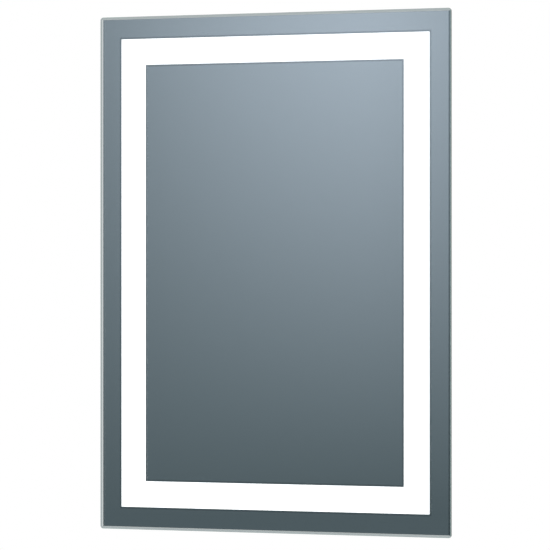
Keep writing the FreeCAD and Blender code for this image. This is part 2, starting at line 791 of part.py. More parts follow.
def make_corner_rivets():
    rivet = make_rivet("corner_rivet", "rail_wall + angle_thickness")
    spots = []
    for corner_x, corner_z, angle, inward_x, inward_z in corners.values():
        for reach in ("rivet_first", "rivet_second"):
            spots.append((f"{corner_x} + {inward_x} * {reach}", "angle_middle",
                          f"{corner_z} + {inward_z} * angle_thickness", "X", 90 * inward_z))
            spots.append((f"{corner_x} + {inward_x} * angle_thickness", "angle_middle",
                          f"{corner_z} + {inward_z} * {reach}", "Z", -90 * inward_x))
    keep(copies(rivet, spots), "corner_rivets")


for corner in corners:
    make_angle(corner)
make_corner_rivets()


# --------------------------------------------------------------------------- back panel
# A painted sheet steel panel, screwed to the trough floors all round, with two banks of
# vent slots, the wiring opening and the holes for everything that is fixed to it.

def screw_spots():
    """Middles of the panel screws: three to a side."""
    reach_x = "half_width - panel_screw_corner"
    reach_z = "half_height - panel_screw_corner"
    spots = []
    for z in ("hang_drop - panel_screw_line", "glass_bottom + panel_screw_line"):
        spots += [(f"-({reach_x})", z), ("0", z), (reach_x, z)]
    for x in ("-(half_width - panel_screw_line)", "half_width - panel_screw_line"):
        spots += [(x, f"glass_middle - ({reach_z})"), (x, "glass_middle"), (x, f"glass_middle + {reach_z}")]
    return spots


def hook_rivet_spots():
    """Middles of the hook rail's rivets, evenly spaced about the middle."""
    count = int(number("hook_rivet_count"))
    return [(f"hook_rivet_spacing * {index - (count - 1) / 2}", "hook_rivet_line") for index in range(count)]


def tray_rivet_spots():
    """Middles of the wiring tray's rivets, two to a flange."""
    return [(f"tray_x + {side} * (tray_width / 2 + tray_flange / 2)", f"tray_z + {rise} * tray_rivet_rise")
            for side in (-1, 1) for rise in (-1, 1)]


def cover_screw_spots():
    """Middles of the wiring cover's screws, beside the corners of the opening."""
    return [(f"tray_x + {side} * (opening_half_width + cover_screw_inset)",
             f"tray_z + {rise} * (opening_half_height + cover_screw_inset)")
            for side in (-1, 1) for rise in (-1, 1)]


def driver_screw_spots():
    """Middles of the power supply's two fixing screws, in its lugs."""
    return [("driver_left - lug_length / 2", "driver_z"), ("driver_right + lug_length / 2", "driver_z")]


def make_back_panel():
    part, outline = plate("panel", "panel_back", "panel_thickness")
    draw_box(outline, *around("panel_edge"))
    pad(part, outline, "panel_thickness")
    round_edges(part, "panel_corner_radius", lambda middle, direction: runs_along(direction, "Y"))

    openings = sketch_on(part, "XZ_Plane")
    draw_box(openings, "tray_x - opening_half_width", "tray_x + opening_half_width",
             "tray_z - opening_half_height", "tray_z + opening_half_height")
    groups = ((screw_spots(), "screw_radius"), (driver_screw_spots(), "screw_radius"),
              (hook_rivet_spots(), "rivet_radius"), (tray_rivet_spots(), "rivet_radius"),
              (cover_screw_spots(), "cover_screw_radius"))
    for spots, radius in groups:
        for x, z in spots:
            draw_circle(openings, x, z, f"{radius} + hole_clear")
    pocket(part, openings)

    for lowest in ("-upper_vent_drop - (vent_count - 1) * vent_pitch", "glass_bottom + lower_vent_rise"):
        slot = sketch_on(part, "XZ_Plane")
        draw_box(slot, "-vent_length / 2", "vent_length / 2",
                 f"{lowest} - vent_height / 2", f"{lowest} + vent_height / 2")
        repeat(part, pocket(part, slot), "Z_Axis", "vent_pitch", "vent_count")
    return keep(part, "back_panel")


make_back_panel()
panel_screw = make_screw("panel_screw", "screw_radius", "screw_length")
keep(copies(panel_screw, [(x, "panel_back", z) for x, z in screw_spots()]), "panel_screws")


# -------------------------------------------------------------- wall rail and hook rail
# Two folded Z rails. The wall rail's lip stands off the wall, and the hook rail drops over
# it. The mirror hangs with the hook's step on top of the lip.

def make_wall_rail():
    part = body("wall_z")
    section = sketch_on(part, "YZ_Plane")
    draw_loop(section, [
        ("0", "-wall_rail_below"), ("0", "wall_rail_above"),
        ("-lip_offset", "wall_rail_above"), ("-lip_offset", "lip_top"), ("lip_front", "lip_top"),
        ("lip_front", "wall_rail_above - rail_sheet"), ("-rail_sheet", "wall_rail_above - rail_sheet"),
        ("-rail_sheet", "-wall_rail_below"),
    ])
    pad(part, section, "wall_rail_length", symmetric=True)
    step_top, step_bottom = number("wall_rail_above"), number("wall_rail_above - rail_sheet")
    lip_front, lip_back = number("lip_front"), number("-lip_offset")
    round_edges(part, "rail_sheet * 0.75", lambda middle, direction: runs_along(direction, "X") and (
        (abs(middle.y) < 1e-4 and abs(middle.z - step_top) < 1e-4)
        or (abs(middle.y - lip_front) < 1e-4 and abs(middle.z - step_bottom) < 1e-4)))
    round_edges(part, "rail_sheet * 0.25", lambda middle, direction: runs_along(direction, "X") and (
        (abs(middle.y - lip_back) < 1e-4 and abs(middle.z - step_top) < 1e-4)
        or (abs(middle.y + number("rail_sheet")) < 1e-4 and abs(middle.z - step_bottom) < 1e-4)))
    holes = sketch_on(part, "XZ_Plane")
    for sign in ("-", ""):
        draw_circle(holes, f"{sign}wall_hole_spacing / 2", "0", "wall_hole_radius")
    pocket(part, holes)
    return keep(part, "wall_rail")


def make_hook_rail():
    part = body("hook_z")
    section = sketch_on(part, "YZ_Plane")
    hook_lip_front = "hook_lip_back - rail_sheet"
    draw_loop(section, [
        ("panel_back", "hook_top"), ("hook_front", "hook_top"),
        ("hook_front", "lip_top + rail_sheet"), ("hook_lip_back", "lip_top + rail_sheet"),
        ("hook_lip_back", "wall_rail_above + hook_bottom_gap"),
        (hook_lip_front, "wall_rail_above + hook_bottom_gap"),
        (hook_lip_front, "lip_top"), ("panel_back", "lip_top"),
    ])
    pad(part, section, "hook_rail_length", symmetric=True)
    step_top, hook_back = number("lip_top + rail_sheet"), number("hook_lip_back")
    round_edges(part, "rail_sheet * 0.75", lambda middle, direction: runs_along(direction, "X")
                and abs(middle.y - hook_back) < 1e-4 and abs(middle.z - step_top) < 1e-4)
    holes = sketch_on(part, "XZ_Plane")
    for x, z in hook_rivet_spots():
        draw_circle(holes, x, z, "rivet_radius + hole_clear")
    pocket(part, holes)
    return keep(part, "hook_rail")


make_wall_rail()
make_hook_rail()
hook_rivet = make_rivet("hook_rivet", "rail_sheet + panel_thickness")
keep(copies(hook_rivet, [(x, "hook_front", z) for x, z in hook_rivet_spots()]), "hook_rivets")

bumper_spots = [("half_width - bumper_side_inset", "glass_bottom + bumper_rise"),
                ("-half_width + bumper_side_inset", "glass_bottom + bumper_rise")]


def make_bumper():
    """A rubber foot, a little narrower at the wall, stuck to the panel's back."""
    part = body("bumper")
    half_section = sketch_on(part, "XY_Plane")
    draw_loop(half_section, [("0", "0"), ("bumper_radius", "0"), ("bumper_radius", "wall_gap / 2"),
                             ("bumper_radius * 0.85", "wall_gap"), ("0", "wall_gap")])
    revolve(part, half_section)
    return part


keep(copies(make_bumper(), [(x, "panel_back", z) for x, z in bumper_spots]), "wall_bumpers")


# -------------------------------------------------------------------------- wiring tray
# A folded steel tray behind the panel's opening holds the terminals and the cable clamp.

def make_tray():
    part = body("tray")
    outside = sketch_on(part, "XZ_Plane", "-panel_front")
    draw_box(outside, "tray_left", "tray_right", "tray_z - tray_height / 2", "tray_z + tray_height / 2")
    pad(part, outside, "tray_depth")
    flanges = sketch_on(part, "XZ_Plane", "-panel_front")
    draw_box(flanges, "tray_left - tray_flange", "tray_right + tray_flange",
             "tray_z - tray_height / 2", "tray_z + tray_height / 2")
    pad(part, flanges, "tray_wall")
    hollow = sketch_on(part, "XZ_Plane", "-tray_floor")
    draw_box(hollow, "tray_left + tray_wall", "tray_right - tray_wall",
             "tray_z - tray_height / 2 + tray_wall", "tray_z + tray_height / 2 - tray_wall")
    pocket(part, hollow, "tray_depth")

    holes = sketch_on(part, "XZ_Plane")
    for x, z in tray_rivet_spots():
        draw_circle(holes, x, z, "rivet_radius + hole_clear")
    for z in clamp_screw_heights():
        draw_circle(holes, "clamp_x", z, "clamp_screw_radius + hole_clear")
    draw_circle(holes, "earth_x", "earth_z", "earth_screw_radius + hole_clear")
    pocket(part, holes)

    lead_hole = sketch_on(part, "YZ_Plane", "tray_left + 2 * tray_wall")
    draw_circle(lead_hole, "input_line", "input_lead_z", "input_hole + bush_wall")
    pocket(part, lead_hole, "3 * tray_wall")
    return keep(part, "wiring_tray")


def clamp_screw_heights():
    """Heights of the cable clamp's two screws, in the middles of its feet."""
    reach = "(clamp_arch + clamp_thickness + clamp_foot / 2)"
    return [f"tray_z - {reach}", f"tray_z + {reach}"]


# The sheathed lead leaves the terminals between the first two poles.
places["input_lead_z"] = "tray_z + pole_pitch / 2"

make_tray()
tray_rivet = make_rivet("tray_rivet", "panel_thickness + tray_wall")
keep(copies(tray_rivet, [(x, "panel_back", z) for x, z in tray_rivet_spots()]), "tray_rivets")


def make_bush():
    """A rubber bush in the tray's side wall, grooved over the sheet."""
    part = body("bush")
    half_section = sketch_on(part, "XY_Plane")
    groove = "input_hole + bush_wall"
    flange = "input_hole + bush_wall + bush_flange"
    draw_loop(half_section, [
        ("input_hole", "tray_wall + bush_flange"), (flange, "tray_wall + bush_flange"),
        (flange, "tray_wall"), (groove, "tray_wall"), (groove, "0"), (flange, "0"),
        (flange, "-bush_flange"), ("input_hole", "-bush_flange"),
    ])
    revolve(part, half_section)
    turn(part, AXES["Z"], -90)
    tie(part, x="tray_left", y="input_line", z="input_lead_z")
    return keep(part, "lead_bush")


make_bush()


# ---------------------------------------------------------- terminals, clamp and earthing

def make_terminal_block():
    """A moulded block of three terminals, each with a wire hole along X and a screw well."""
    part = body("terminals")
    outline = sketch_on(part, "XZ_Plane", "-block_back")
    draw_box(outline, "block_x", "block_x + block_length",
             "tray_z - 1.5 * pole_pitch", "tray_z + 1.5 * pole_pitch")
    pad(part, outline, "block_depth")
    wire_hole = sketch_on(part, "YZ_Plane", "block_x + block_length / 2")
    draw_circle(wire_hole, "wire_line", "tray_z - pole_pitch", "terminal_hole_radius")
    repeat(part, pocket(part, wire_hole), "Z_Axis", "pole_pitch", 3)
    well = sketch_on(part, "XZ_Plane", "-(block_back - well_depth)")
    draw_circle(well, "block_x + block_length / 2", "tray_z - pole_pitch", "well_radius")
    repeat(part, pocket(part, well, "2 * well_depth"), "Z_Axis", "pole_pitch", 3)
    return keep(part, "terminal_block")


def make_terminal_screws():
    """Slotted brass screws at the bottoms of the wells."""
    screws = []
    for pole in (-1, 0, 1):
        z = f"tray_z + {pole} * pole_pitch"
        middle = "block_x + block_length / 2"
        slug = rod("well_radius - hole_clear", "block_back - well_depth", "block_back - well_depth / 2", middle, z)
        slot = block((f"{middle} - well_radius", "block_back - well_depth * 0.7", f"{z} - well_radius / 6"),
                     (f"{middle} + well_radius", "block_back", f"{z} + well_radius / 6"))
        screws.append(less(slug, [slot]))
    keep(together(screws), "terminal_screws")


def make_clamp():
    """A steel saddle over the supply cable, with a foot and a screw on each side."""
    part = body("clamp")
    section = sketch_on(part, "YZ_Plane", "clamp_x")
    arch_inside = "(tray_floor + 2 * clamp_arch)"
    arch_outside = f"({arch_inside} + clamp_thickness)"
    foot_top = "tray_floor + clamp_thickness"
    points = []
    for side in (-1, 1):
        wall_inside = f"tray_z + {side} * clamp_arch"
        wall_outside = f"tray_z + {side} * (clamp_arch + clamp_thickness)"
        foot_end = f"tray_z + {side} * (clamp_arch + clamp_thickness + clamp_foot)"
        half = [(arch_inside, wall_inside), ("tray_floor", wall_inside), ("tray_floor", foot_end),
                (foot_top, foot_end), (foot_top, wall_outside), (arch_outside, wall_outside)]
        points += half if side < 0 else half[::-1]
    draw_loop(section, points)
    pad(part, section, "clamp_width", symmetric=True)
    outside = number(arch_outside)
    inside = number(arch_inside)
    round_edges(part, "clamp_arch", lambda middle, direction: runs_along(direction, "X")
                and abs(middle.y - outside) < 1e-4)
    round_edges(part, "clamp_arch - clamp_thickness", lambda middle, direction: runs_along(direction, "X")
                and abs(middle.y - inside) < 1e-4)
    holes = sketch_on(part, "XZ_Plane")
    for z in clamp_screw_heights():
        draw_circle(holes, "clamp_x", z, "clamp_screw_radius + hole_clear")
    pocket(part, holes)
    return keep(part, "cable_clamp")


make_terminal_block()
make_terminal_screws()
make_clamp()
clamp_screw = make_screw("clamp_screw", "clamp_screw_radius", "clamp_screw_length")
keep(copies(clamp_screw, [("clamp_x", "tray_floor + clamp_thickness", z) for z in clamp_screw_heights()]),
     "clamp_screws")

# The earth tag is a ring with a crimped barrel, held to the tray by its own screw.
tag_back = "(tray_floor + earth_tag_thickness)"
barrel_length = "(2 * earth_tag_radius)"
barrel_end = f"(earth_x - {barrel_length})"
tag_ring = rod("earth_tag_radius", "tray_floor", tag_back, "earth_x", "earth_z")
tag_barrel = block((barrel_end, "tray_floor", "earth_z - core_wire_radius"),
                   ("earth_x", tag_back, "earth_z + core_wire_radius"))
tag_hole = rod("earth_screw_radius + hole_clear", "tray_floor - tray_wall", f"{tag_back} + tray_wall",
               "earth_x", "earth_z")
keep(less(joined([tag_ring, tag_barrel]), [tag_hole]), "earth_tag")
earth_screw = make_screw("earth_fixing", "earth_screw_radius", "3 * earth_screw_radius")
tie(earth_screw, x="earth_x", y=tag_back, z="earth_z")
keep(earth_screw, "earth_screw")


# ------------------------------------------------------------- wiring cover and grommet
# A small plate closes the opening. The supply cable comes through its rubber grommet.

def make_cover():
    part, outline = plate("cover", "cover_back", "cover_thickness")
    draw_box(outline, "tray_x - opening_half_width - cover_overlap", "tray_x + opening_half_width + cover_overlap",
             "tray_z - opening_half_height - cover_overlap", "tray_z + opening_half_height + cover_overlap")
    pad(part, outline, "cover_thickness")
    round_edges(part, "cover_overlap / 3", lambda middle, direction: runs_along(direction, "Y"))
    holes = sketch_on(part, "XZ_Plane")
    draw_circle(holes, "grommet_x", "tray_z", "grommet_hole")
    for x, z in cover_screw_spots():
        draw_circle(holes, x, z, "cover_screw_radius + hole_clear")
    pocket(part, holes)
    return keep(part, "wiring_cover")


def make_grommet():
    part = body("grommet")
    half_section = sketch_on(part, "XY_Plane")
    flange = "grommet_hole + grommet_flange"
    back = "cover_thickness + grommet_flange_depth"
    draw_loop(half_section, [
        ("cable_radius", back), (f"{flange} - grommet_flange / 2", back), (flange, "cover_thickness"),
        ("grommet_hole", "cover_thickness"), ("grommet_hole", "0"), (flange, "0"),
        (f"{flange} - grommet_flange / 2", "-grommet_flange_depth"), ("cable_radius", "-grommet_flange_depth"),
    ])
    revolve(part, half_section)
    tie(part, x="grommet_x", y="cover_front", z="tray_z")
    return keep(part, "cable_grommet")


make_cover()
make_grommet()
cover_screw = make_screw("cover_screw", "cover_screw_radius", "cover_screw_length")
keep(copies(cover_screw, [(x, "cover_back", z) for x, z in cover_screw_spots()]), "cover_screws")


# ------------------------------------------------------------------------- power supply
# A moulded case with two fixing lugs, screwed to the panel's inside, and a lid on top of
# the circuit board with its transformer, choke and capacitors.

def post_spots():
    """Middles of the lid screw posts, in two opposite corners of the case."""
    return [(f"{end} + {side} * post_inset", f"driver_z + {side} * (driver_height / 2 - post_inset)")
            for end, side in (("driver_left", 1), ("driver_right", -1))]


def standoff_spots():
    """Middles of the circuit board's four standoffs."""
    return [(f"driver_x + {side} * (board_length / 2 - standoff_inset)",
             f"driver_z + {rise} * (board_height / 2 - standoff_inset)")
            for side in (-1, 1) for rise in (-1, 1)]


def make_driver_base():
    part = body("driver_case")
    outside = sketch_on(part, "XZ_Plane", "-panel_front")
    bottom, top = "driver_z - driver_height / 2", "driver_z + driver_height / 2"
    draw_box(outside, "driver_left", "driver_right", bottom, top)
    pad(part, outside, "driver_depth - driver_wall")
    lugs = sketch_on(part, "XZ_Plane", "-panel_front")
    draw_box(lugs, "driver_left - lug_length", "driver_right + lug_length",
             "driver_z - lug_height / 2", "driver_z + lug_height / 2")
    pad(part, lugs, "lug_thickness")
    # The hollow is cut back from its mouth, which faces the room, down to the case's floor.
    hollow = sketch_on(part, "XZ_Plane", "-lid_back")
    draw_box(hollow, "driver_left + driver_wall", "driver_right - driver_wall",
             f"{bottom} + driver_wall", f"{top} - driver_wall")
    pocket(part, hollow, "driver_depth - 2 * driver_wall")
    for spots, radius, height in ((standoff_spots(), "standoff_radius", "standoff_height"),
                                  (post_spots(), "post_radius", "driver_depth - 2 * driver_wall")):
        raised = sketch_on(part, "XZ_Plane", "-driver_floor")
        for x, z in spots:
            draw_circle(raised, x, z, radius)
        pad(part, raised, height)
    post_holes = sketch_on(part, "XZ_Plane", "-lid_back")
    for x, z in post_spots():
        draw_circle(post_holes, x, z, "lid_screw_radius + hole_clear")
    pocket(part, post_holes, "lid_screw_length")
    lug_holes = sketch_on(part, "XZ_Plane")
    for x, z in driver_screw_spots():
        draw_circle(lug_holes, x, z, "screw_radius + hole_clear")
    pocket(part, lug_holes)
    for x, line, radius in (("driver_right + driver_wall", "input_line", "input_hole"),
                            ("driver_left + 2 * driver_wall", "output_line", "output_hole")):
        lead_hole = sketch_on(part, "YZ_Plane", x)
        draw_circle(lead_hole, line, "driver_z", radius)
        pocket(part, lead_hole, "3 * driver_wall")
    return keep(part, "driver_base")


def make_driver_lid():
    part, outline = plate("lid", "lid_back", "driver_wall")
    draw_box(outline, "driver_left", "driver_right", "driver_z - driver_height / 2", "driver_z + driver_height / 2")
    pad(part, outline, "driver_wall")
    holes = sketch_on(part, "XZ_Plane")
    for x, z in post_spots():
        draw_circle(holes, x, z, "lid_screw_radius + hole_clear")
    pocket(part, holes)
    return keep(part, "driver_lid")


make_driver_base()
make_driver_lid()
lid_screw = make_screw("lid_screw", "lid_screw_radius", "lid_screw_length")
keep(copies(lid_screw, [(x, "lid_back - driver_wall", z, "X", 180) for x, z in post_spots()]), "driver_lid_screws")
driver_screw_length = "panel_thickness + lug_thickness + 1.5 * screw_radius"
driver_screw = make_screw("driver_screw", "screw_radius", driver_screw_length)
keep(copies(driver_screw, [(x, "panel_back", z) for x, z in driver_screw_spots()]), "driver_fixings")

keep(block(("driver_x - board_length / 2", "board_front", "driver_z - board_height / 2"),
           ("driver_x + board_length / 2", "board_back", "driver_z + board_height / 2")), "driver_board")

core = block(("driver_x - core_length / 2", "board_front - core_depth", "driver_z - core_height / 2"),
             ("driver_x + core_length / 2", "board_front", "driver_z + core_height / 2"))
winding = block(("driver_x - winding_length / 2", "board_front - core_depth * 0.85",
                 "driver_z - core_height / 2 - winding_proud"),
                ("driver_x + winding_length / 2", "board_front", "driver_z + core_height / 2 + winding_proud"))
keep(joined([core, winding]), "driver_transformer")

capacitor_step = "(2 * capacitor_radius + capacitor_gap)"
first_capacitor = "(driver_x - core_length / 2 - capacitor_gap - capacitor_radius)"
keep(together([rod("capacitor_radius", "board_front - capacitor_height", "board_front",
                   f"{first_capacitor} - {index} * {capacitor_step}", "driver_z") for index in range(2)]),
     "driver_capacitors")


def make_choke():
    """A wound ring that lies on the circuit board, with rounded edges."""
    part = body("choke")
    half_section = sketch_on(part, "XY_Plane")
    draw_box(half_section, "choke_bore", "choke_radius", "-choke_height", "0")
    revolve(part, half_section)
    round_edges(part, "choke_rounding", lambda middle, direction: True)
    tie(part, x="driver_x + core_length / 2 + capacitor_gap + choke_radius", y="board_front", z="driver_z")
    return keep(part, "driver_choke")


make_choke()


# -------------------------------------------------------------------------------- leads
# Each lead is a round tube along straight runs joined by arcs that touch them. An arc's
# radius is 0.45 of its shorter run over the tangent of half the turn.

ARC_SHARE = 0.45


def lead_path(points):
    """Runs and arcs through the points, the arcs' radii and the path's whole length."""
    edges = []
    radii = []
    start = points[0]
    for before, corner, after in zip(points, points[1:], points[2:]):
        arriving = (corner - before).normalize()
        leaving = (after - corner).normalize()
        half_turn = arriving.getAngle(leaving) / 2
        setback = ARC_SHARE * min((corner - before).Length, (after - corner).Length)
        radius = setback / math.tan(half_turn)
        arc_start = corner - arriving * setback
        arc_end = corner + leaving * setback
        inward = (leaving - arriving).normalize()
        arc_middle = corner + inward * (radius / math.cos(half_turn) - radius)
        edges.append(Part.LineSegment(start, arc_start).toShape())
        edges.append(Part.Arc(arc_start, arc_middle, arc_end).toShape())
        radii.append(round(radius, 1))
        start = arc_end
    edges.append(Part.LineSegment(start, points[-1]).toShape())
    return Part.Wire(edges), radii


def lead_solid(name, route, radius):
    """The tube of one lead, with its volume held against its section times its length."""
    points = [Vector(*(number(words) for words in point)) for point in route]
    path, radii = lead_path(points)
    thickness = number(radius)
    ring = Part.Wire([Part.makeCircle(thickness, points[0], points[1] - points[0])])
    tube = path.makePipeShell([ring], True, False)
    expected = math.pi * thickness ** 2 * path.Length
    if abs(tube.Volume - expected) > 0.01 * expected:
        raise RuntimeError(f"the tube of {name} has a wrong volume")
    print(name, "length", round(path.Length, 1), "diameter", 2 * thickness, "radii", radii)
    return tube


def make_lead(label, routes, radius):
    piece = document.addObject("Part::Feature", label)
    tubes = [lead_solid(label, route, radius) for route in routes]
    piece.Shape = tubes[0] if len(tubes) == 1 else Part.makeCompound(tubes)
    piece.Placement = FreeCAD.Placement()
    return keep(piece, label)


# From the terminals, through the bush and the clip, into the power supply's right end.
sheath_end = "(tray_left + 3 * bush_flange + 2 * tray_wall)"
clip_x = "(driver_right + lug_length + 0.6 * clip_base)"
clip_end = f"({clip_x} + clip_width / 2)"
free_run = f"(tray_left - {clip_end})"
input_route = [
    (sheath_end, "input_line", "input_lead_z"),
    (f"tray_left - {free_run} * 0.28", "input_line", "input_lead_z"),
    (f"{clip_end} + {free_run} * 0.28", "input_line", "driver_z"),
    ("driver_x + board_length / 2 - standoff_inset", "input_line", "driver_z"),
]
make_lead("driver_input_lead", [input_route], "input_lead_radius")

# Two cores splay from the sheath's end to under the first two terminal screws.
core_reach = f"(block_x - {sheath_end})"
core_routes = [[
    (sheath_end, "input_line", f"input_lead_z + {side} * 1.2 * core_wire_radius"),
    (f"{sheath_end} + {core_reach} * 0.3", "input_line", f"input_lead_z + {side} * 1.2 * core_wire_radius"),
    (f"{sheath_end} + {core_reach} * 0.65", "core_line", f"input_lead_z + {side} * pole_pitch / 2"),
    ("block_x + block_length / 2 + core_wire_radius", "core_line", f"input_lead_z + {side} * pole_pitch / 2"),
] for side in (-1, 1)]
make_lead("driver_input_cores", core_routes, "core_wire_radius")

# From the power supply's left end, through the left rail's wall, onto the strip's face.
output_route = [
    ("driver_x - board_length / 2 + standoff_inset", "output_line", "driver_z"),
    ("driver_left - driver_rail_gap * 0.25", "output_line", "driver_z"),
    ("driver_left - driver_rail_gap * 0.7", "strip_lead_line", "output_lead_z"),
    ("-half_width + strip_line + chip_width", "strip_lead_line", "output_lead_z"),
]
make_lead("driver_output_lead", [output_route], "output_lead_radius")


def jumper_route(side_x, side_z, corner_z):
    """From one strip's end round a corner of the trough to the next strip's end."""
    x_line = f"{side_x} * (half_width - strip_line)"
    z_line = f"({corner_z}) - {side_z} * strip_line"
    y_line = "strip_front - jumper_radius"
    on_strip = "(strip_end_gap + 0.4 * strip_width)"
    bend = "(0.75 * strip_end_gap)"
    return [
        (f"{x_line} - {side_x} * {on_strip}", y_line, z_line),
        (f"{x_line} - {side_x} * {bend}", y_line, z_line),
        (x_line, y_line, f"{z_line} - {side_z} * {bend}"),
        (x_line, y_line, f"{z_line} - {side_z} * {on_strip}"),
    ]


make_lead("corner_jumpers", [jumper_route(-1, 1, "hang_drop"), jumper_route(1, 1, "hang_drop"),
                             jumper_route(1, -1, "glass_bottom")], "jumper_radius")

# From under the third terminal's screw, past the clamp, to the earth tag's barrel.
block_right = "(block_x + block_length)"
earth_line = f"({tag_back} + core_wire_radius)"
earth_run = f"({barrel_end} - {block_right})"
earth_route = [
    ("block_x + block_length / 2 - core_wire_radius", "core_line", "tray_z - pole_pitch"),
    (f"{block_right} + {earth_run} * 0.25", "core_line", "tray_z - pole_pitch"),
    (f"{block_right} + {earth_run} * 0.7", earth_line, "earth_z"),
    (f"{barrel_end} + {barrel_length} * 0.45", earth_line, "earth_z"),
]
make_lead("earth_lead", [earth_route], "core_wire_radius")


def make_clip(name, x, z, line, radius):
    """A nylon clip on a sticky base, round a lead that runs along X."""
    part = body(name)
    base = sketch_on(part, "XZ_Plane", "-panel_front")
    draw_box(base, f"{x} - clip_base / 2", f"{x} + clip_base / 2", f"{z} - clip_base / 2", f"{z} + clip_base / 2")
    pad(part, base, "clip_base_thickness")
    stem = sketch_on(part, "XZ_Plane", "-panel_front")
    draw_box(stem, f"{x} - clip_width / 2", f"{x} + clip_width / 2", f"{z} - {radius}", f"{z} + {radius}")
    pad(part, stem, f"panel_front - {line}")
    ring = sketch_on(part, "YZ_Plane", x)
    draw_circle(ring, line, z, f"{radius} + clip_wall")
    pad(part, ring, "clip_width", symmetric=True)
    bore = sketch_on(part, "YZ_Plane", x)
    draw_circle(bore, line, z, f"{radius} + hole_clear")
    pocket(part, bore)
    return part


keep(make_clip("clip", clip_x, "driver_z", "input_line", "input_lead_radius"), "lead_clip")


# ------------------------------------------------------------------- check and write out

document.recompute()
for item in document.Objects:
    if "Invalid" in item.State or "Error" in item.State:
        raise RuntimeError(f"{item.Label} failed: {item.State}")
for piece in finished:
    if piece.Shape.isNull() or not piece.Shape.isValid():
        raise RuntimeError(f"{piece.Label} has no valid shape")
for piece in finished:
    piece.Shape.exportStep(f"parts/{piece.Label}.step")
print(len(finished), "pieces written")
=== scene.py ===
import math

import bmesh
import bpy
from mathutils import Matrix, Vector


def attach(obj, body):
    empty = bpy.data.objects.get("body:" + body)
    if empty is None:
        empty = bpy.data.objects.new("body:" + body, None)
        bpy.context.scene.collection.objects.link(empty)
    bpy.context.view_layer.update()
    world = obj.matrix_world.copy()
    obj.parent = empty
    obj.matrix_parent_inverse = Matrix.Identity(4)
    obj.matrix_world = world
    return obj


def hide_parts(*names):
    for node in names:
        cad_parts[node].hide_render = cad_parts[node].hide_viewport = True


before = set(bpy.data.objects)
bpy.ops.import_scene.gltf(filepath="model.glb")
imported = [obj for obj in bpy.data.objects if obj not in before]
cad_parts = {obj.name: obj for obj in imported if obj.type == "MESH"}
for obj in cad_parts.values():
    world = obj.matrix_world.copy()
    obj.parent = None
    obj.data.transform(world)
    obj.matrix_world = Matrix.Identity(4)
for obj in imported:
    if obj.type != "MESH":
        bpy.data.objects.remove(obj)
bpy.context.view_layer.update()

# ------------------------------------------------------------------------------ studio
# A level camera stands to the right of the mirror, as far off as the picture's edges
# converge. The room in front of the mirror is grey and brightens upwards, and what is
# behind the mirror is white. All lengths are in metres.

FACE_MIDDLE = Vector((0, -0.0465, -0.230))
CAMERA_SIDE = math.radians(19.33)
CAMERA_DISTANCE = 4.327
LENS, SENSOR_WIDTH = 210.7, 36  # in millimetres, as cameras give them
SHIFT_RIGHT, SHIFT_DOWN = 0.004, 0.0027
sideways = Vector((math.cos(CAMERA_SIDE), math.sin(CAMERA_SIDE), 0))
outwards = Vector((math.sin(CAMERA_SIDE), -math.cos(CAMERA_SIDE), 0))

camera = bpy.data.objects.new("camera", bpy.data.cameras.new("camera"))
camera.data.sensor_width = SENSOR_WIDTH
camera.data.lens = LENS
camera.location = (FACE_MIDDLE + outwards * CAMERA_DISTANCE + sideways * SHIFT_RIGHT
                   - Vector((0, 0, SHIFT_DOWN)))
camera.rotation_euler = (math.pi / 2, 0, CAMERA_SIDE)
bpy.context.scene.collection.objects.link(camera)
bpy.context.scene.camera = camera
bpy.context.scene.view_settings.view_transform = "Standard"


class Wire:
    """A node's output. Sums written with it become Math nodes of its tree."""

    def __init__(self, tree, socket):
        self.tree = tree
        self.socket = socket

    def output(self, name):
        """Another output of the same node."""
        return Wire(self.tree, self.socket.node.outputs[name])

    def feed(self, name, value):
        """Set or link an input of the same node."""
        if isinstance(value, Wire):
            self.tree.graph.links.new(value.socket, self.socket.node.inputs[name])
        else:
            self.socket.node.inputs[name].default_value = value

    def __add__(self, other):
        return self.tree.maths("ADD", self, other)

    def __radd__(self, other):
        return self.tree.maths("ADD", other, self)

    def __sub__(self, other):
        return self.tree.maths("SUBTRACT", self, other)

    def __rsub__(self, other):
        return self.tree.maths("SUBTRACT", other, self)

    def __mul__(self, other):
        return self.tree.maths("MULTIPLY", self, other)

    def __rmul__(self, other):
        return self.tree.maths("MULTIPLY", other, self)

    def __truediv__(self, other):
        return self.tree.maths("DIVIDE", self, other)

    def __pow__(self, other):
        return self.tree.maths("POWER", self, other)

    def __mod__(self, other):
        return self.tree.maths("FLOORED_MODULO", self, other)

    def __abs__(self):
        return self.tree.maths("ABSOLUTE", self)

    def most(self, other):
        """The larger of two values."""
        return self.tree.maths("MAXIMUM", self, other)

    def least(self, other):
        """The smaller of two values."""
        return self.tree.maths("MINIMUM", self, other)

    def rise(self, low, high):
        """0 below low and 1 above high, with a smooth slope between them."""
        return self.tree.node("ShaderNodeMapRange", {"interpolation_type": "SMOOTHSTEP"},
                              {"Value": self, "From Min": low, "From Max": high})

    def fall(self, low, high):
        """1 below low and 0 above high."""
        return 1 - self.rise(low, high)


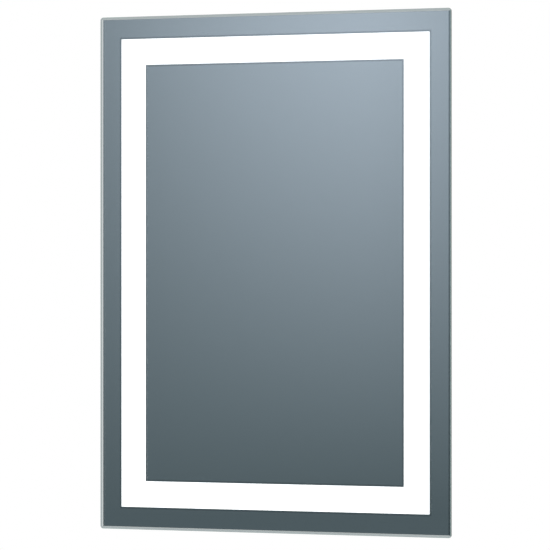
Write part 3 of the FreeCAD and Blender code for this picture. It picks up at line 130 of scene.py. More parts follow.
class Tree:
    """A node tree in which any node is made by one call."""

    def __init__(self, graph):
        self.graph = graph

    def node(self, kind, settings=None, values=None, output=0):
        """Make a node: its settings first, then the values or links of its inputs."""
        made = self.graph.nodes.new(kind)
        for name, setting in (settings or {}).items():
            setattr(made, name, setting)
        wire = Wire(self, made.outputs[output] if made.outputs else made.inputs[0])
        for name, value in (values or {}).items():
            wire.feed(name, value)
        return wire

    def maths(self, operation, *terms):
        return self.node("ShaderNodeMath", {"operation": operation}, dict(enumerate(terms)))

    def mix(self, share, first, second):
        """A colour between two colours. Inputs 6 and 7 are the node's colour inputs."""
        first, second = ((*colour, 1) if isinstance(colour, tuple) else colour
                         for colour in (first, second))
        return self.node("ShaderNodeMix", {"data_type": "RGBA"},
                         {0: share, 6: first, 7: second}, output=2)

    def aim(self, direction, vector):
        """How far a direction points along a fixed vector."""
        return self.node("ShaderNodeVectorMath", {"operation": "DOT_PRODUCT"},
                         {0: direction, 1: vector}, output="Value")


def paint(red, green, blue):
    """A colour named by its three screen values, 0 to 255, as light."""
    return tuple((value / 255 / 12.92) if value < 11 else ((value / 255 + 0.055) / 1.055) ** 2.4
                 for value in (red, green, blue))


WHITE, BLACK = (1.0, 1.0, 1.0), (0.0, 0.0, 0.0)
DULL_LIGHT = (0.52, 0.52, 0.52)
WALL_FOOT, WALL_TOP = (0.306, 0.345, 0.363), (0.640, 0.676, 0.722)
CEILING, ROOM_FLOOR = (0.86, 0.88, 0.89), (0.56, 0.59, 0.60)
ROOM_GAMMA, ROOM_GAIN = 2.2, 1.22

# Slopes as the mirror sees them: rise over distance, and sideways over distance.
LEAST_AHEAD = 0.05
FOOT_SLOPE, WALL_SLOPE, WALL_BULGE = 0.0746, 0.1507, 0.3
CEILING_SLOPES, FLOOR_SLOPES = (0.09, 1.0), (0.09, 1.4)
GLOW_ACROSS, GLOW_LEFT, GLOW_RIGHT = 0.028, 0.0792, 0.0596
GLOW_LOSS, GLOW_CURVE = 0.45, 1.6
ROOM_SIDE = (0.05, 0.45)  # how far forward a reflection points where the room fades in
LAMPS = {"window_light": ((-2.2, -2.6, 1.6), 2.0, 75),
         "fill_light": ((2.6, -1.2, 1.2), 1.6, 22),
         "wall_light": ((1.2, 2.8, 1.4), 2.2, 72)}


def light_studio():
    world = bpy.data.worlds.new("studio")
    bpy.context.scene.world = world
    world.use_nodes = True
    sky = Tree(world.node_tree)
    ray = sky.node("ShaderNodeTexCoord", output="Generated")
    mirrored_sideways = Vector((sideways.x, -sideways.y, 0))
    mirrored_ahead = Vector((-outwards.x, outwards.y, 0))
    ahead = sky.aim(ray, mirrored_ahead).most(LEAST_AHEAD)
    across = sky.aim(ray, mirrored_sideways) / ahead
    up = sky.aim(ray, Vector((0, 0, 1))) / ahead

    # The wall opposite: slate at the foot, pale above, with the window's glow to one side.
    height = ((up + FOOT_SLOPE) / WALL_SLOPE).most(0).least(1)
    rising = height + WALL_BULGE * height * height * (1 - height)
    off_glow = across - GLOW_ACROSS
    left_of_glow = (-1 * off_glow / GLOW_LEFT).most(0)
    right_of_glow = (off_glow / GLOW_RIGHT).most(0)
    glow = 1 - GLOW_LOSS * (left_of_glow + right_of_glow).least(1) ** GLOW_CURVE
    opposite = sky.mix(rising * glow, WALL_FOOT, WALL_TOP)
    with_ceiling = sky.mix(up.rise(*CEILING_SLOPES), opposite, CEILING)
    room = sky.mix((-1 * up).rise(*FLOOR_SLOPES), with_ceiling, ROOM_FLOOR)
    room_light = sky.node("ShaderNodeGamma", None, {"Color": room, "Gamma": ROOM_GAMMA})
    brighter = sky.node("ShaderNodeVectorMath", {"operation": "SCALE"},
                        {0: room_light, "Scale": ROOM_GAIN})
    facing_room = sky.aim(ray, Vector((0, -1, 0))).rise(*ROOM_SIDE)
    surround = sky.mix(facing_room, WHITE, brighter)

    # The gradient shows in reflections and through glass only. The background is white.
    path = sky.node("ShaderNodeLightPath", output="Is Camera Ray")
    seen_in_gloss = path.output("Is Glossy Ray").most(path.output("Is Transmission Ray"))
    lit = sky.mix(seen_in_gloss, DULL_LIGHT, surround)
    seen = sky.mix(path, lit, WHITE)
    background = next(node for node in world.node_tree.nodes if node.type == "BACKGROUND")
    world.node_tree.links.new(seen.socket, background.inputs["Color"])

    for name, (spot, width, power) in LAMPS.items():
        lamp = bpy.data.objects.new(name, bpy.data.lights.new(name, "AREA"))
        lamp.data.size = width
        lamp.data.energy = power
        lamp.location = spot
        lamp.rotation_euler = (FACE_MIDDLE - Vector(spot)).to_track_quat("-Z", "Y").to_euler()
        lamp.visible_camera = False
        lamp.visible_glossy = False
        lamp.visible_transmission = False
        bpy.context.scene.collection.objects.link(lamp)


light_studio()


class Finish(Tree):
    """A material: one surface shader and the nodes that vary it over a piece."""

    def __init__(self, name, values):
        self.material = bpy.data.materials.new(name + "_finish")
        self.material.use_nodes = True
        super().__init__(self.material.node_tree)
        self.shader = self.graph.nodes["Principled BSDF"]
        for socket, value in values.items():
            self.feed(socket, value)
        self.place = self.node("ShaderNodeTexCoord", output="Object")

    def feed(self, socket, value):
        """Set or link an input of the surface shader."""
        if isinstance(value, Wire):
            self.graph.links.new(value.socket, self.shader.inputs[socket])
        else:
            self.shader.inputs[socket].default_value = (
                (*value, 1) if isinstance(value, tuple) else value)

    def axes(self):
        split = self.node("ShaderNodeSeparateXYZ", None, {0: self.place}, output="X")
        return split, split.output("Y"), split.output("Z")

    def stretched(self, stretch):
        return self.node("ShaderNodeVectorMath", {"operation": "MULTIPLY"},
                         {0: self.place, 1: stretch})

    def noise(self, size, detail=2, stretch=(1, 1, 1)):
        """Cloudy noise whose blots are about as wide as size."""
        return self.node("ShaderNodeTexNoise", None,
                         {"Vector": self.stretched(stretch), "Scale": 1 / size, "Detail": detail})

    def cells(self, size, stretch=(1, 1, 1), output="Distance"):
        """Cells about as wide as size."""
        return self.node("ShaderNodeTexVoronoi", None,
                         {"Vector": self.stretched(stretch), "Scale": 1 / size}, output)

    def colour(self, share, first, second):
        """Colour the surface between two colours."""
        self.feed("Base Color", self.mix(share, first, second))

    def relief(self, height, depth):
        """Small relief, as deep as depth where height is 1."""
        self.feed("Normal", self.node("ShaderNodeBump", None,
                                      {"Height": height, "Distance": depth}))


FLOOR_LEVEL, FLOOR_RADIUS, FLOOR_SIDES = -0.80, 2.3, 64
FLOOR_FADE = (1.0, 2.2)
FLOOR_PAINT, FLOOR_GLOW = (0.86, 0.86, 0.86), (0.14, 0.14, 0.14)


def make_floor():
    """A pale disc that fades out towards its rim and can't be seen from below."""
    turns = [2 * math.pi * step / FLOOR_SIDES for step in range(FLOOR_SIDES)]
    mesh = bpy.data.meshes.new("floor")
    mesh.from_pydata([(FLOOR_RADIUS * math.cos(turn), FLOOR_RADIUS * math.sin(turn), FLOOR_LEVEL)
                      for turn in turns], [], [tuple(range(FLOOR_SIDES))])
    floor = bpy.data.objects.new("floor", mesh)
    bpy.context.scene.collection.objects.link(floor)
    finish = Finish("floor_paint", {"Base Color": FLOOR_PAINT, "Roughness": 0.8,
                                    "Emission Strength": 1.0})
    path = finish.node("ShaderNodeLightPath", output="Is Camera Ray")
    finish.feed("Emission Color", finish.mix(path, BLACK, FLOOR_GLOW))
    x, y, _ = finish.axes()
    underside = finish.node("ShaderNodeNewGeometry", output="Backfacing")
    finish.feed("Alpha", ((x * x + y * y) ** 0.5).fall(*FLOOR_FADE) * (1 - underside))
    mesh.materials.append(finish.material)
    floor.visible_glossy = False
    floor.visible_transmission = False


make_floor()


# ---------------------------------------------------------------------------- wall rail
# A Z rail of zinc plated sheet steel, screwed to the wall. The hook rail on the mirror's
# back is folded from the same sheet and drops in behind the wall rail's lip.

def zinc_steel():
    finish = Finish("zinc_steel", {"Metallic": 1.0})
    spangle = finish.cells(size=0.007, output="Color")
    tone = finish.node("ShaderNodeSeparateColor", None, {0: spangle})
    cloud = finish.noise(size=0.03, detail=3)
    finish.colour(tone * 0.6 + cloud * 0.4, paint(180, 184, 188), paint(210, 213, 215))
    finish.feed("Roughness", 0.30 + tone * 0.14)
    finish.relief(finish.noise(size=0.0012, stretch=(1, 6, 6)), depth=0.00004)
    return finish


def dress(finish, *names):
    """Give CAD nodes a finish."""
    for name in names:
        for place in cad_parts[name].material_slots:
            place.material = finish.material


zinc = zinc_steel()
dress(zinc, "wall_rail", "hook_rail")


# --------------------------------------------------------------------------- glass pane
# One pane of clear float glass, slightly green in depth, with small rounded corners and a
# polished edge that is round front and back. It replaces the faceted solid.

GLASS_MIDDLE_Z = -0.230
GLASS_FRONT, GLASS_BACK = -0.0465, -0.04053
PANE_HALF_SIZES = (0.25, 0.35)
PANE_CORNER, PANE_ROUNDING, ARC_STEPS = 0.004, 0.0026, 8
# The rim's darker tint is painted shade along the pane's edge.
CLEAR_GLASS, RIM_GLASS_SHADE = (0.955, 0.975, 0.97), (0.41, 0.455, 0.46)
# The side's dark green is partly the glass's own green in depth and partly painted shade.
EDGE_GREEN_AND_SHADE = (0.03, 0.15, 0.11)
RIM_SHADE_BLEND = (0.0030, 0.0040)  # how far in from the pane's edge the rim's painted shade fades out
EDGE_BLEND = (0.0005, 0.0012)  # and the edge's green and painted shade, from the side and from the face


def edge_distance(finish, half_width, half_height):
    """Distance out from a rectangle about the pane's middle; negative inside it."""
    x, _, z = finish.axes()
    return (abs(x) - half_width).most(abs(z - GLASS_MIDDLE_Z) - half_height)


def glass_finish():
    finish = Finish("clear_glass", {"Transmission Weight": 1.0, "Roughness": 0.0, "IOR": 1.5})
    _, depth, _ = finish.axes()
    edge = edge_distance(finish, *PANE_HALF_SIZES)
    # Painted shade: the glass is tinted darker along its rim.
    face = finish.mix(edge.rise(-RIM_SHADE_BLEND[1], -RIM_SHADE_BLEND[0]), CLEAR_GLASS, RIM_GLASS_SHADE)
    at_side = edge.rise(-EDGE_BLEND[1], -EDGE_BLEND[0])
    behind_face = depth.rise(GLASS_FRONT + EDGE_BLEND[0], GLASS_FRONT + EDGE_BLEND[1])
    # The side is painted dark green, partly the glass's own green and partly painted shade.
    finish.colour(at_side * behind_face, face, EDGE_GREEN_AND_SHADE)
    return finish


def show(name, mesh, finish, replaced):
    """Put a finished mesh in place, riding on the mirror, for the nodes it replaces."""
    piece = bpy.data.objects.new(name, mesh)
    bpy.context.scene.collection.objects.link(piece)
    mesh.materials.clear()
    mesh.materials.append(finish.material)
    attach(piece, "mirror")
    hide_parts(*replaced)


def corner_ring(shape, inset, depth):
    """One loop of points round the pane: four rounded corners, drawn in by inset."""
    half_width, half_height = (half - PANE_CORNER for half in PANE_HALF_SIZES)
    radius = max(PANE_CORNER - inset, 0.0)
    ring = []
    for quarter, (side, rise) in enumerate(((1, 1), (-1, 1), (-1, -1), (1, -1))):
        for step in range(ARC_STEPS + 1):
            turn = math.pi / 2 * (quarter + step / ARC_STEPS)
            ring.append(shape.verts.new((
                side * half_width + radius * math.cos(turn), depth,
                GLASS_MIDDLE_Z + rise * half_height + radius * math.sin(turn))))
    return ring


def make_pane():
    turns = [math.pi / 2 * step / ARC_STEPS for step in range(ARC_STEPS + 1)]
    back_arc = [(PANE_ROUNDING * (1 - math.sin(turn)),
                 GLASS_BACK - PANE_ROUNDING * (1 - math.cos(turn))) for turn in turns]
    front_arc = [(PANE_ROUNDING * (1 - math.cos(turn)),
                  GLASS_FRONT + PANE_ROUNDING * (1 - math.sin(turn))) for turn in turns]
    shape = bmesh.new()
    rings = [corner_ring(shape, inset, depth) for inset, depth in back_arc + front_arc]
    for near, far in zip(rings, rings[1:]):
        for index in range(len(near)):
            following = (index + 1) % len(near)
            shape.faces.new((near[index], near[following], far[following], far[index]))
    shape.faces.new(rings[0])
    shape.faces.new(list(reversed(rings[-1])))
    bmesh.ops.recalc_face_normals(shape, faces=shape.faces)
    mesh = bpy.data.meshes.new("glass_pane")
    shape.to_mesh(mesh)
    shape.free()
    mesh.shade_smooth()

    # The large faces keep flat shading, so that the rounding doesn't bend reflections.
    blank = bpy.data.objects.new("pane_blank", mesh)
    bpy.context.scene.collection.objects.link(blank)
    weighted = blank.modifiers.new("flat_faces", "WEIGHTED_NORMAL")
    weighted.weight = 100
    bpy.context.view_layer.update()
    depsgraph = bpy.context.evaluated_depsgraph_get()
    finished = bpy.data.meshes.new_from_object(blank.evaluated_get(depsgraph))
    bpy.data.objects.remove(blank)
    finished.name = "glass_pane"
    show("glass_pane", finished, glass_finish(), ["mirror_glass"])


make_pane()


# --------------------------------------------------------------- silver, frosting and film
# The silver lies on the pane's back in two fields. The band between them is acid etched,
# and glows white with the light strips behind it. A grey safety film covers the silver.

BAND_OUTER = (0.2195, 0.3195)
BAND_INNER = (0.184, 0.284)
# The silver's darker line along the frosting is painted shade.
SILVER, SILVER_SHADE_LINE = (0.90, 0.915, 0.92), (0.64, 0.66, 0.67)
SHADE_LINE_FADE = (0.0012, 0.0034)
FROST, FROST_DIM, FROST_BRIGHT = (0.96, 0.97, 0.98), (0.965, 0.975, 0.985), (1.0, 1.0, 1.0)
FROST_GLOW = 1.3


def silver_finish():
    """Plain silver, with a fine darker line of painted shade along the frosting."""
    finish = Finish("silvering", {"Metallic": 1.0, "Roughness": 0.0})
    outer_shade_line, inner_shade_line = (abs(edge_distance(finish, *band)).fall(*SHADE_LINE_FADE)
                              for band in (BAND_OUTER, BAND_INNER))
    finish.colour(outer_shade_line.most(inner_shade_line), SILVER, SILVER_SHADE_LINE)
    return finish


def frosting_finish():
    finish = Finish("frosting", {"Base Color": FROST, "Roughness": 0.55,
                                 "Emission Strength": FROST_GLOW})
    grain = finish.noise(size=0.0009, detail=3)
    finish.feed("Emission Color", finish.mix(grain, FROST_DIM, FROST_BRIGHT))
    finish.relief(grain, depth=0.00002)
    return finish


def film_finish():
    finish = Finish("safety_film", {"Roughness": 0.5})
    upright = finish.noise(size=0.0016, stretch=(1, 1, 0.25))
    level = finish.noise(size=0.0016, stretch=(0.25, 1, 1))
    weave = upright * 0.5 + level * 0.5
    finish.colour(weave.rise(0.3, 0.7), paint(126, 131, 134), paint(158, 162, 164))
    finish.relief(weave, depth=0.00005)
    return finish


dress(silver_finish(), "silver_coating")
dress(frosting_finish(), "etched_band")
dress(film_finish(), "safety_film")


# ---------------------------------------------------------------------------- foam tape
# Strips of black closed cell foam tape, sticky on both sides. They hold the flanges of
# the frame to the film, outside and inside the lit band.

def foam_finish():
    finish = Finish("foam_tape", {"Roughness": 0.95})
    pores = finish.cells(size=0.0007)
    finish.colour(pores.rise(0.1, 0.6), paint(14, 14, 15), paint(46, 46, 48))
    finish.relief(pores, depth=0.0001)
    return finish


dress(foam_finish(), "bond_tape_outer", "bond_tape_inner")


# -------------------------------------------------------------------------- frame rails
# Trough rails extruded in aluminium, satin anodised and mitred at the corners. Fine die
# lines run along each rail. Zinc plated angles are riveted into the corners.

def aluminium_finish(name, along_axis):
    finish = Finish(name, {"Metallic": 1.0})
    stretch = tuple(0.02 if axis == along_axis else 1.0 for axis in "XYZ")
    lines = finish.noise(size=0.0009, detail=3, stretch=stretch)
    haze = finish.noise(size=0.06)
    finish.colour(lines.rise(0.25, 0.75), paint(170, 173, 176), paint(194, 196, 198))
    finish.feed("Roughness", 0.30 + lines * 0.10 + haze * 0.06)
    finish.relief(lines, depth=0.00003)
    return finish


dress(aluminium_finish("aluminium_across", "X"), "frame_rail_top", "frame_rail_bottom")
dress(aluminium_finish("aluminium_upright", "Z"), "frame_rail_left", "frame_rail_right")
dress(zinc, "corner_angle_top_left", "corner_angle_top_right", "corner_angle_bottom_left",
      "corner_angle_bottom_right")


# ---------------------------------------------------------------------- diffusers, strips
# Opal acrylic diffusers rest on the troughs' ledges. The light strips under them are white
# boards with yellow faced chips, and red jumpers join strip to strip.

def moulded_finish(name, dark, pale, roughness, grain=0.0006, depth=0.00003, cloud=0.02):
    """A moulded or coated surface: a slow cloud of tone and a fine grain."""
    finish = Finish(name, {})
    tone = finish.noise(size=cloud, detail=3)
    fine = finish.noise(size=grain)
    finish.colour((tone * 0.65 + fine * 0.35).rise(0.3, 0.7), dark, pale)
    finish.feed("Roughness", roughness + (fine - 0.5) * 0.12)
    finish.relief(fine, depth)
    return finish


dress(moulded_finish("opal_acrylic", paint(228, 230, 233), paint(240, 241, 243), 0.28),
      "diffuser_top", "diffuser_right", "diffuser_bottom", "diffuser_left")

STRIP_LINE = (0.20175, 0.30175)  # the strips' middle line, out from the pane's middle
TRACK_OFFSET, TRACK_HALF_WIDTH = 0.0033, 0.0003


def strip_finish():
    """White solder mask with two tracks showing through it along each strip."""
    finish = Finish("strip_board", {"Roughness": 0.34})
    grain = finish.noise(size=0.0007)
    mask = finish.mix(grain.rise(0.3, 0.7), paint(230, 230, 226), paint(242, 242, 239))
    off_middle = abs(edge_distance(finish, *STRIP_LINE))
    track = abs(off_middle - TRACK_OFFSET).fall(TRACK_HALF_WIDTH, 2 * TRACK_HALF_WIDTH)
    finish.colour(track * 0.8, mask, paint(206, 196, 166))
    finish.relief(track + grain * 0.2, depth=0.00004)
    return finish


dress(strip_finish(), "led_board_top", "led_board_right", "led_board_bottom", "led_board_left")


def repeat_tree(name, sizes):
    """A tree for a small piece that is repeated, with its sizes as named inputs."""
    graph = bpy.data.node_groups.new(name, "GeometryNodeTree")
    sockets = [("Spots", "NodeSocketGeometry"), *((size, "NodeSocketFloat") for size in sizes),
               ("Finish", "NodeSocketMaterial")]
    graph.interface.new_socket("Geometry", in_out="OUTPUT", socket_type="NodeSocketGeometry")
    for socket, kind in sockets:
        graph.interface.new_socket(socket, in_out="INPUT", socket_type=kind)
    tree = Tree(graph)
    return tree, tree.node("NodeGroupInput")


def repeat(tree, given, piece):
    """Close a tree: the piece on every spot, real and with its finish."""
    spread = tree.node("GeometryNodeInstanceOnPoints", None,
                       {"Points": given.output("Spots"), "Instance": piece})
    real = tree.node("GeometryNodeRealizeInstances", None, {0: spread})
    coated = tree.node("GeometryNodeSetMaterial", None,
                       {"Geometry": real, "Material": given.output("Finish")})
    tree.node("NodeGroupOutput", None, {0: coated})
    return tree.graph


WELD_DISTANCE, SHARP_EDGE = 0.000004, math.radians(32)


def set_out(name, graph, spots, sizes, finish, replaced):
    """Run a tree on its spots and keep the plain mesh that it makes."""
    cloud = bpy.data.meshes.new(name)
    cloud.from_pydata(spots, [], [])
    holder = bpy.data.objects.new(name + "_spots", cloud)
    bpy.context.scene.collection.objects.link(holder)
    modifier = holder.modifiers.new("made", "NODES")
    modifier.node_group = graph
    sockets = {item.name: item.identifier for item in graph.interface.items_tree
               if item.in_out == "INPUT"}
    for size, value in sizes.items():
        modifier[sockets[size]] = value
    modifier[sockets["Finish"]] = finish.material
    bpy.context.view_layer.update()
    depsgraph = bpy.context.evaluated_depsgraph_get()
    mesh = bpy.data.meshes.new_from_object(holder.evaluated_get(depsgraph))
    bpy.data.objects.remove(holder)
    mesh.name = name
    shape = bmesh.new()
    shape.from_mesh(mesh)
    bmesh.ops.remove_doubles(shape, verts=shape.verts, dist=WELD_DISTANCE)
    bmesh.ops.recalc_face_normals(shape, faces=shape.faces)
    shape.to_mesh(mesh)
    shape.free()
    mesh.shade_smooth()
    mesh.set_sharp_from_angle(angle=SHARP_EDGE)
    show(name, mesh, finish, replaced)


CUP_WIDTH, CUP_RISE = 0.76, -1.2  # the cutting block, in shares of the chip's size


def chip_tree():
    """A chip with a shallow cup in its face for the yellow gel."""
    tree, given = repeat_tree("light_chips", ("Chip X", "Chip Z", "Chip Height"))
    height = given.output("Chip Height")

    def block(share, rise):
        """A block of a share of the chip's face, moved by a share of its height."""
        size = tree.node("ShaderNodeCombineXYZ", None, {
            "X": given.output("Chip X") * share, "Y": height, "Z": given.output("Chip Z") * share})
        return tree.node("GeometryNodeTransform", None, {
            "Geometry": tree.node("GeometryNodeMeshCube", None, {"Size": size}),
            "Translation": tree.node("ShaderNodeCombineXYZ", None, {"Y": height * rise})})

    cup = tree.node("GeometryNodeMeshBoolean", {"operation": "DIFFERENCE", "solver": "EXACT"},
                    {0: block(1.0, -0.5), 1: block(CUP_WIDTH, CUP_RISE)})
    return repeat(tree, given, cup)


STRIP_FACE = -0.0117
CHIP_LONG, CHIP_SHORT, CHIP_HEIGHT = 0.0035, 0.0028, 0.0008
GEL_DEPTHS = (STRIP_FACE - 0.00075, STRIP_FACE - 0.00065)  # between rim and cup's floor
LEVEL_CHIPS = (-0.17875, 0.17875, 23)  # first, last and how many
UPRIGHT_CHIPS = (-0.50875, 0.04875, 35)


def chip_finish():
    """A white moulded body, with yellow gel on what faces the pane below the cup's rim."""
    finish = Finish("light_chip", {"Roughness": 0.3})
    _, depth, _ = finish.axes()
    normal = finish.node("ShaderNodeNewGeometry", output="Normal")
    facing = finish.aim(normal, Vector((0, -1, 0)))
    below_rim = depth.rise(*GEL_DEPTHS)
    grain = finish.noise(size=0.0003)
    body = finish.mix(grain, paint(228, 228, 222), paint(242, 242, 238))
    gel = finish.mix(grain, paint(226, 190, 84), paint(246, 222, 128))
    finish.colour(facing.rise(0.8, 0.95) * below_rim, body, gel)
    finish.relief(grain, depth=0.00001)
    return finish


def spread_out(first, last, count):
    """Evenly spaced places from first to last."""
    return [first + (last - first) / (count - 1) * step for step in range(count)]


chips = chip_tree()
gel_chip = chip_finish()
for side, z in (("top", GLASS_MIDDLE_Z + STRIP_LINE[1]),
                ("bottom", GLASS_MIDDLE_Z - STRIP_LINE[1])):
    set_out("led_chip_row_" + side, chips, [(x, STRIP_FACE, z) for x in spread_out(*LEVEL_CHIPS)],
            {"Chip X": CHIP_LONG, "Chip Z": CHIP_SHORT, "Chip Height": CHIP_HEIGHT},
            gel_chip, ["led_chips_" + side])
for side, x in (("left", -STRIP_LINE[0]), ("right", STRIP_LINE[0])):
    set_out("led_chip_row_" + side, chips, [(x, STRIP_FACE, z) for z in spread_out(*UPRIGHT_CHIPS)],
            {"Chip X": CHIP_SHORT, "Chip Z": CHIP_LONG, "Chip Height": CHIP_HEIGHT},
            gel_chip, ["led_chips_" + side])
dress(moulded_finish("jumper_insulation", paint(172, 30, 26), paint(198, 44, 38), 0.42),
      "corner_jumpers")


# --------------------------------------------------------------------------- back panel
# Sheet steel with a pale grey, finely textured powder coat, and two banks of vent slots.
# It is screwed on from behind. The wiring cover has the same coat.

PANEL_HALF_SIZES = (0.220, 0.320)
RUBBED_EDGE = (-0.0016, -0.0004)


def powder_coat():
    finish = Finish("panel_paint", {})
    peel = finish.noise(size=0.0016)
    speckle = finish.cells(size=0.0011).fall(0.05, 0.35)
    cloud = finish.noise(size=0.25, detail=4)
    tone = finish.mix(cloud.rise(0.3, 0.7), paint(201, 204, 206), paint(208, 210, 211))
    handled = finish.noise(size=0.11).rise(0.52, 0.68)
    scuffs = finish.noise(size=0.0030, detail=3, stretch=(0.06, 1, 0.45)).rise(0.62, 0.72) * handled
    rubbed_edge = edge_distance(finish, *PANEL_HALF_SIZES).rise(*RUBBED_EDGE)
    wear = (scuffs * 0.55 + rubbed_edge * 0.5).least(1)
    worn = finish.mix(wear, tone, paint(184, 187, 190))
    finish.colour(speckle * 0.45, worn, paint(172, 176, 180))
    finish.feed("Roughness", 0.44 + peel * 0.16 - scuffs * 0.12)
    finish.relief(peel + speckle * 0.4, depth=0.00012)
    return finish


dress(powder_coat(), "back_panel", "wiring_cover")


# ---------------------------------------------------------------------- screws and rivets
# Pan head screws with a cross recess, zinc plated, and domed aluminium blind rivets. They
# are turned shapes, set out on their holes with the head towards the wall.

SEAM_DISTANCE = 0.00001
RECESS_REACH, RECESS_WIDTH, RECESS_DEPTH = 2, 0.5, 1.2  # in shanks, shanks and heads


def turned_tree(name, sizes, outline, sides=28, recess=False):
    """A tree that turns an outline about Y and sets the result out on every spot.

    outline takes the named sizes and returns pairs of radius and height along Y.
    """
    tree, given = repeat_tree(name, sizes)
    points = outline(*(given.output(size) for size in sizes))
    grid = tree.node("GeometryNodeMeshGrid", None,
                     {"Vertices X": sides + 1, "Vertices Y": len(points)})
    index = tree.node("GeometryNodeInputIndex")
    row = index % len(points)
    angle = (index - row) / len(points) * (2 * math.pi / sides)

    def picked(values):
        """The row's own value out of one for each row. A switch starts with two inputs."""
        switch = tree.node("GeometryNodeIndexSwitch", {"data_type": "FLOAT"}, {"Index": row})
        for _ in values[2:]:
            switch.socket.node.index_switch_items.new()
        for number, value in enumerate(values):
            switch.feed(number + 1, value)
        return switch

    radius, height = (picked(values) for values in zip(*points))
    place = tree.node("ShaderNodeCombineXYZ", None, {
        "X": radius * tree.maths("COSINE", angle), "Y": height,
        "Z": radius * tree.maths("SINE", angle)})
    turned = tree.node("GeometryNodeSetPosition", None, {"Geometry": grid, "Position": place})
    closed = tree.node("GeometryNodeMergeByDistance", None,
                       {"Geometry": turned, "Distance": SEAM_DISTANCE})
    if recess:
        closed = cross_recess(tree, given, closed)
    return repeat(tree, given, closed)


def cross_recess(tree, given, screw):
    """Cut a cross into a screw's head."""
    reach = given.output("Shank Radius") * RECESS_REACH
    narrow = given.output("Shank Radius") * RECESS_WIDTH
    deep = given.output("Head Height") * RECESS_DEPTH
    for width, rise in ((reach, narrow), (narrow, reach)):
        size = tree.node("ShaderNodeCombineXYZ", None, {"X": width, "Y": deep, "Z": rise})
        bar = tree.node("GeometryNodeMeshCube", None, {"Size": size})
        lift = tree.node("ShaderNodeCombineXYZ", None, {"Y": given.output("Head Height")})
        cutter = tree.node("GeometryNodeTransform", None, {"Geometry": bar, "Translation": lift})
        screw = tree.node("GeometryNodeMeshBoolean", {"operation": "DIFFERENCE", "solver": "EXACT"},
                          {0: screw, 1: cutter})
    return screw


def screw_outline(shank, length, head, height):
    return [(0.0, height), (head * 0.45, height), (head * 0.72, height * 0.88),
            (head * 0.92, height * 0.55), (head, height * 0.18), (head, 0.0), (shank, 0.0),
            (shank, shank * 1.2 - length), (shank * 0.25, -1 * length), (0.0, -1 * length)]


def rivet_outline(shank, grip, head, height):
    return [(0.0, height * 0.25), (head * 0.27, height * 0.20), (head * 0.30, height * 0.92),
            (head * 0.40, height), (head * 0.62, height * 0.84), (head * 0.86, height * 0.52),
            (head, height * 0.1), (head, 0.0), (shank, 0.0), (shank, -1 * grip),
            (shank * 1.4, -1 * grip - 0.0004), (shank * 1.4, -1 * grip - 0.0012),
            (shank, -1 * grip - 0.0019), (0.0, -1 * grip - 0.002)]


def metal_finish(name, dark, pale, roughness):
    """A small plated or turned metal piece, with fine scratches and a slow change of tone."""
    finish = Finish(name, {"Metallic": 1.0})
    cloud = finish.noise(size=0.004, detail=3)
    scratches = finish.noise(size=0.0004, stretch=(1, 1, 4))
    finish.colour((cloud * 0.7 + scratches * 0.3).rise(0.3, 0.7), dark, pale)
    finish.feed("Roughness", roughness + scratches * 0.12)
    finish.relief(scratches, depth=0.00002)
    return finish


screw_tree = turned_tree("pan_head_screws",
                         ("Shank Radius", "Shank Length", "Head Radius", "Head Height"),
                         screw_outline, recess=True)
rivet_tree = turned_tree("blind_rivets", ("Shank Radius", "Grip", "Head Radius", "Head Height"),
                         rivet_outline)
screw_steel = metal_finish("screw_steel", paint(150, 152, 154), paint(198, 199, 198), 0.26)
rivet_metal = metal_finish("rivet_aluminium", paint(178, 180, 182), paint(212, 213, 214), 0.30)


def set_screws(name, spots, shank, length, replaced):
    sizes = {"Shank Radius": shank, "Shank Length": length, "Head Radius": 2 * shank,
             "Head Height": shank}
    set_out(name, screw_tree, spots, sizes, screw_steel, replaced)


RIVET_SHANK, RIVET_HEAD, RIVET_DOME = 0.0016, 0.0032, 0.0009
HOOK_GRIP, TRAY_GRIP = 0.003, 0.002  # the sheets that a rivet holds together


def set_rivets(name, spots, grip, replaced):
    sizes = {"Shank Radius": RIVET_SHANK, "Grip": grip, "Head Radius": RIVET_HEAD,
             "Head Height": RIVET_DOME}
    set_out(name, rivet_tree, spots, sizes, rivet_metal, replaced)


PANEL_BACK = -0.008
PANEL_SCREW = (0.00175, 0.008)  # shank radius and length
LEVEL_ROWS_X, LEVEL_ROWS_Z = (-0.180, 0.0, 0.180), (0.084, -0.544)
UPRIGHT_ROWS_X, UPRIGHT_ROWS_Z = (-0.214, 0.214), (-0.510, -0.230, 0.050)
panel_spots = [(x, PANEL_BACK, z) for z in LEVEL_ROWS_Z for x in LEVEL_ROWS_X]
panel_spots += [(x, PANEL_BACK, z) for x in UPRIGHT_ROWS_X for z in UPRIGHT_ROWS_Z]
set_screws("panel_screw_set", panel_spots, *PANEL_SCREW, ["panel_screws"])

HOOK_BACK, HOOK_RIVET_Z, HOOK_RIVET_X = -0.006, 0.038, (-0.150, -0.050, 0.050, 0.150)
set_rivets("hook_rivet_set", [(x, HOOK_BACK, HOOK_RIVET_Z) for x in HOOK_RIVET_X],
           HOOK_GRIP, ["hook_rivets"])

TRAY_X, TRAY_Z = 0.074, -0.130
TRAY_RIVETS = (0.0445, 0.020)  # out from the tray's middle


def tray_corners(half_width, half_height, depth):
    """Four spots round the wiring tray's middle."""
    return [(TRAY_X + side * half_width, depth, TRAY_Z + rise * half_height)
            for side in (-1, 1) for rise in (-1, 1)]


set_rivets("tray_rivet_set", tray_corners(*TRAY_RIVETS, PANEL_BACK), TRAY_GRIP,
           ["tray_rivets"])
dress(rivet_metal, "corner_rivets")


# ------------------------------------------------------------------------- rubber bumpers
# Two round feet of black rubber, moulded with a hollow in the middle and stuck to the
# panel's back. They keep the mirror's foot as far from the wall as its head.

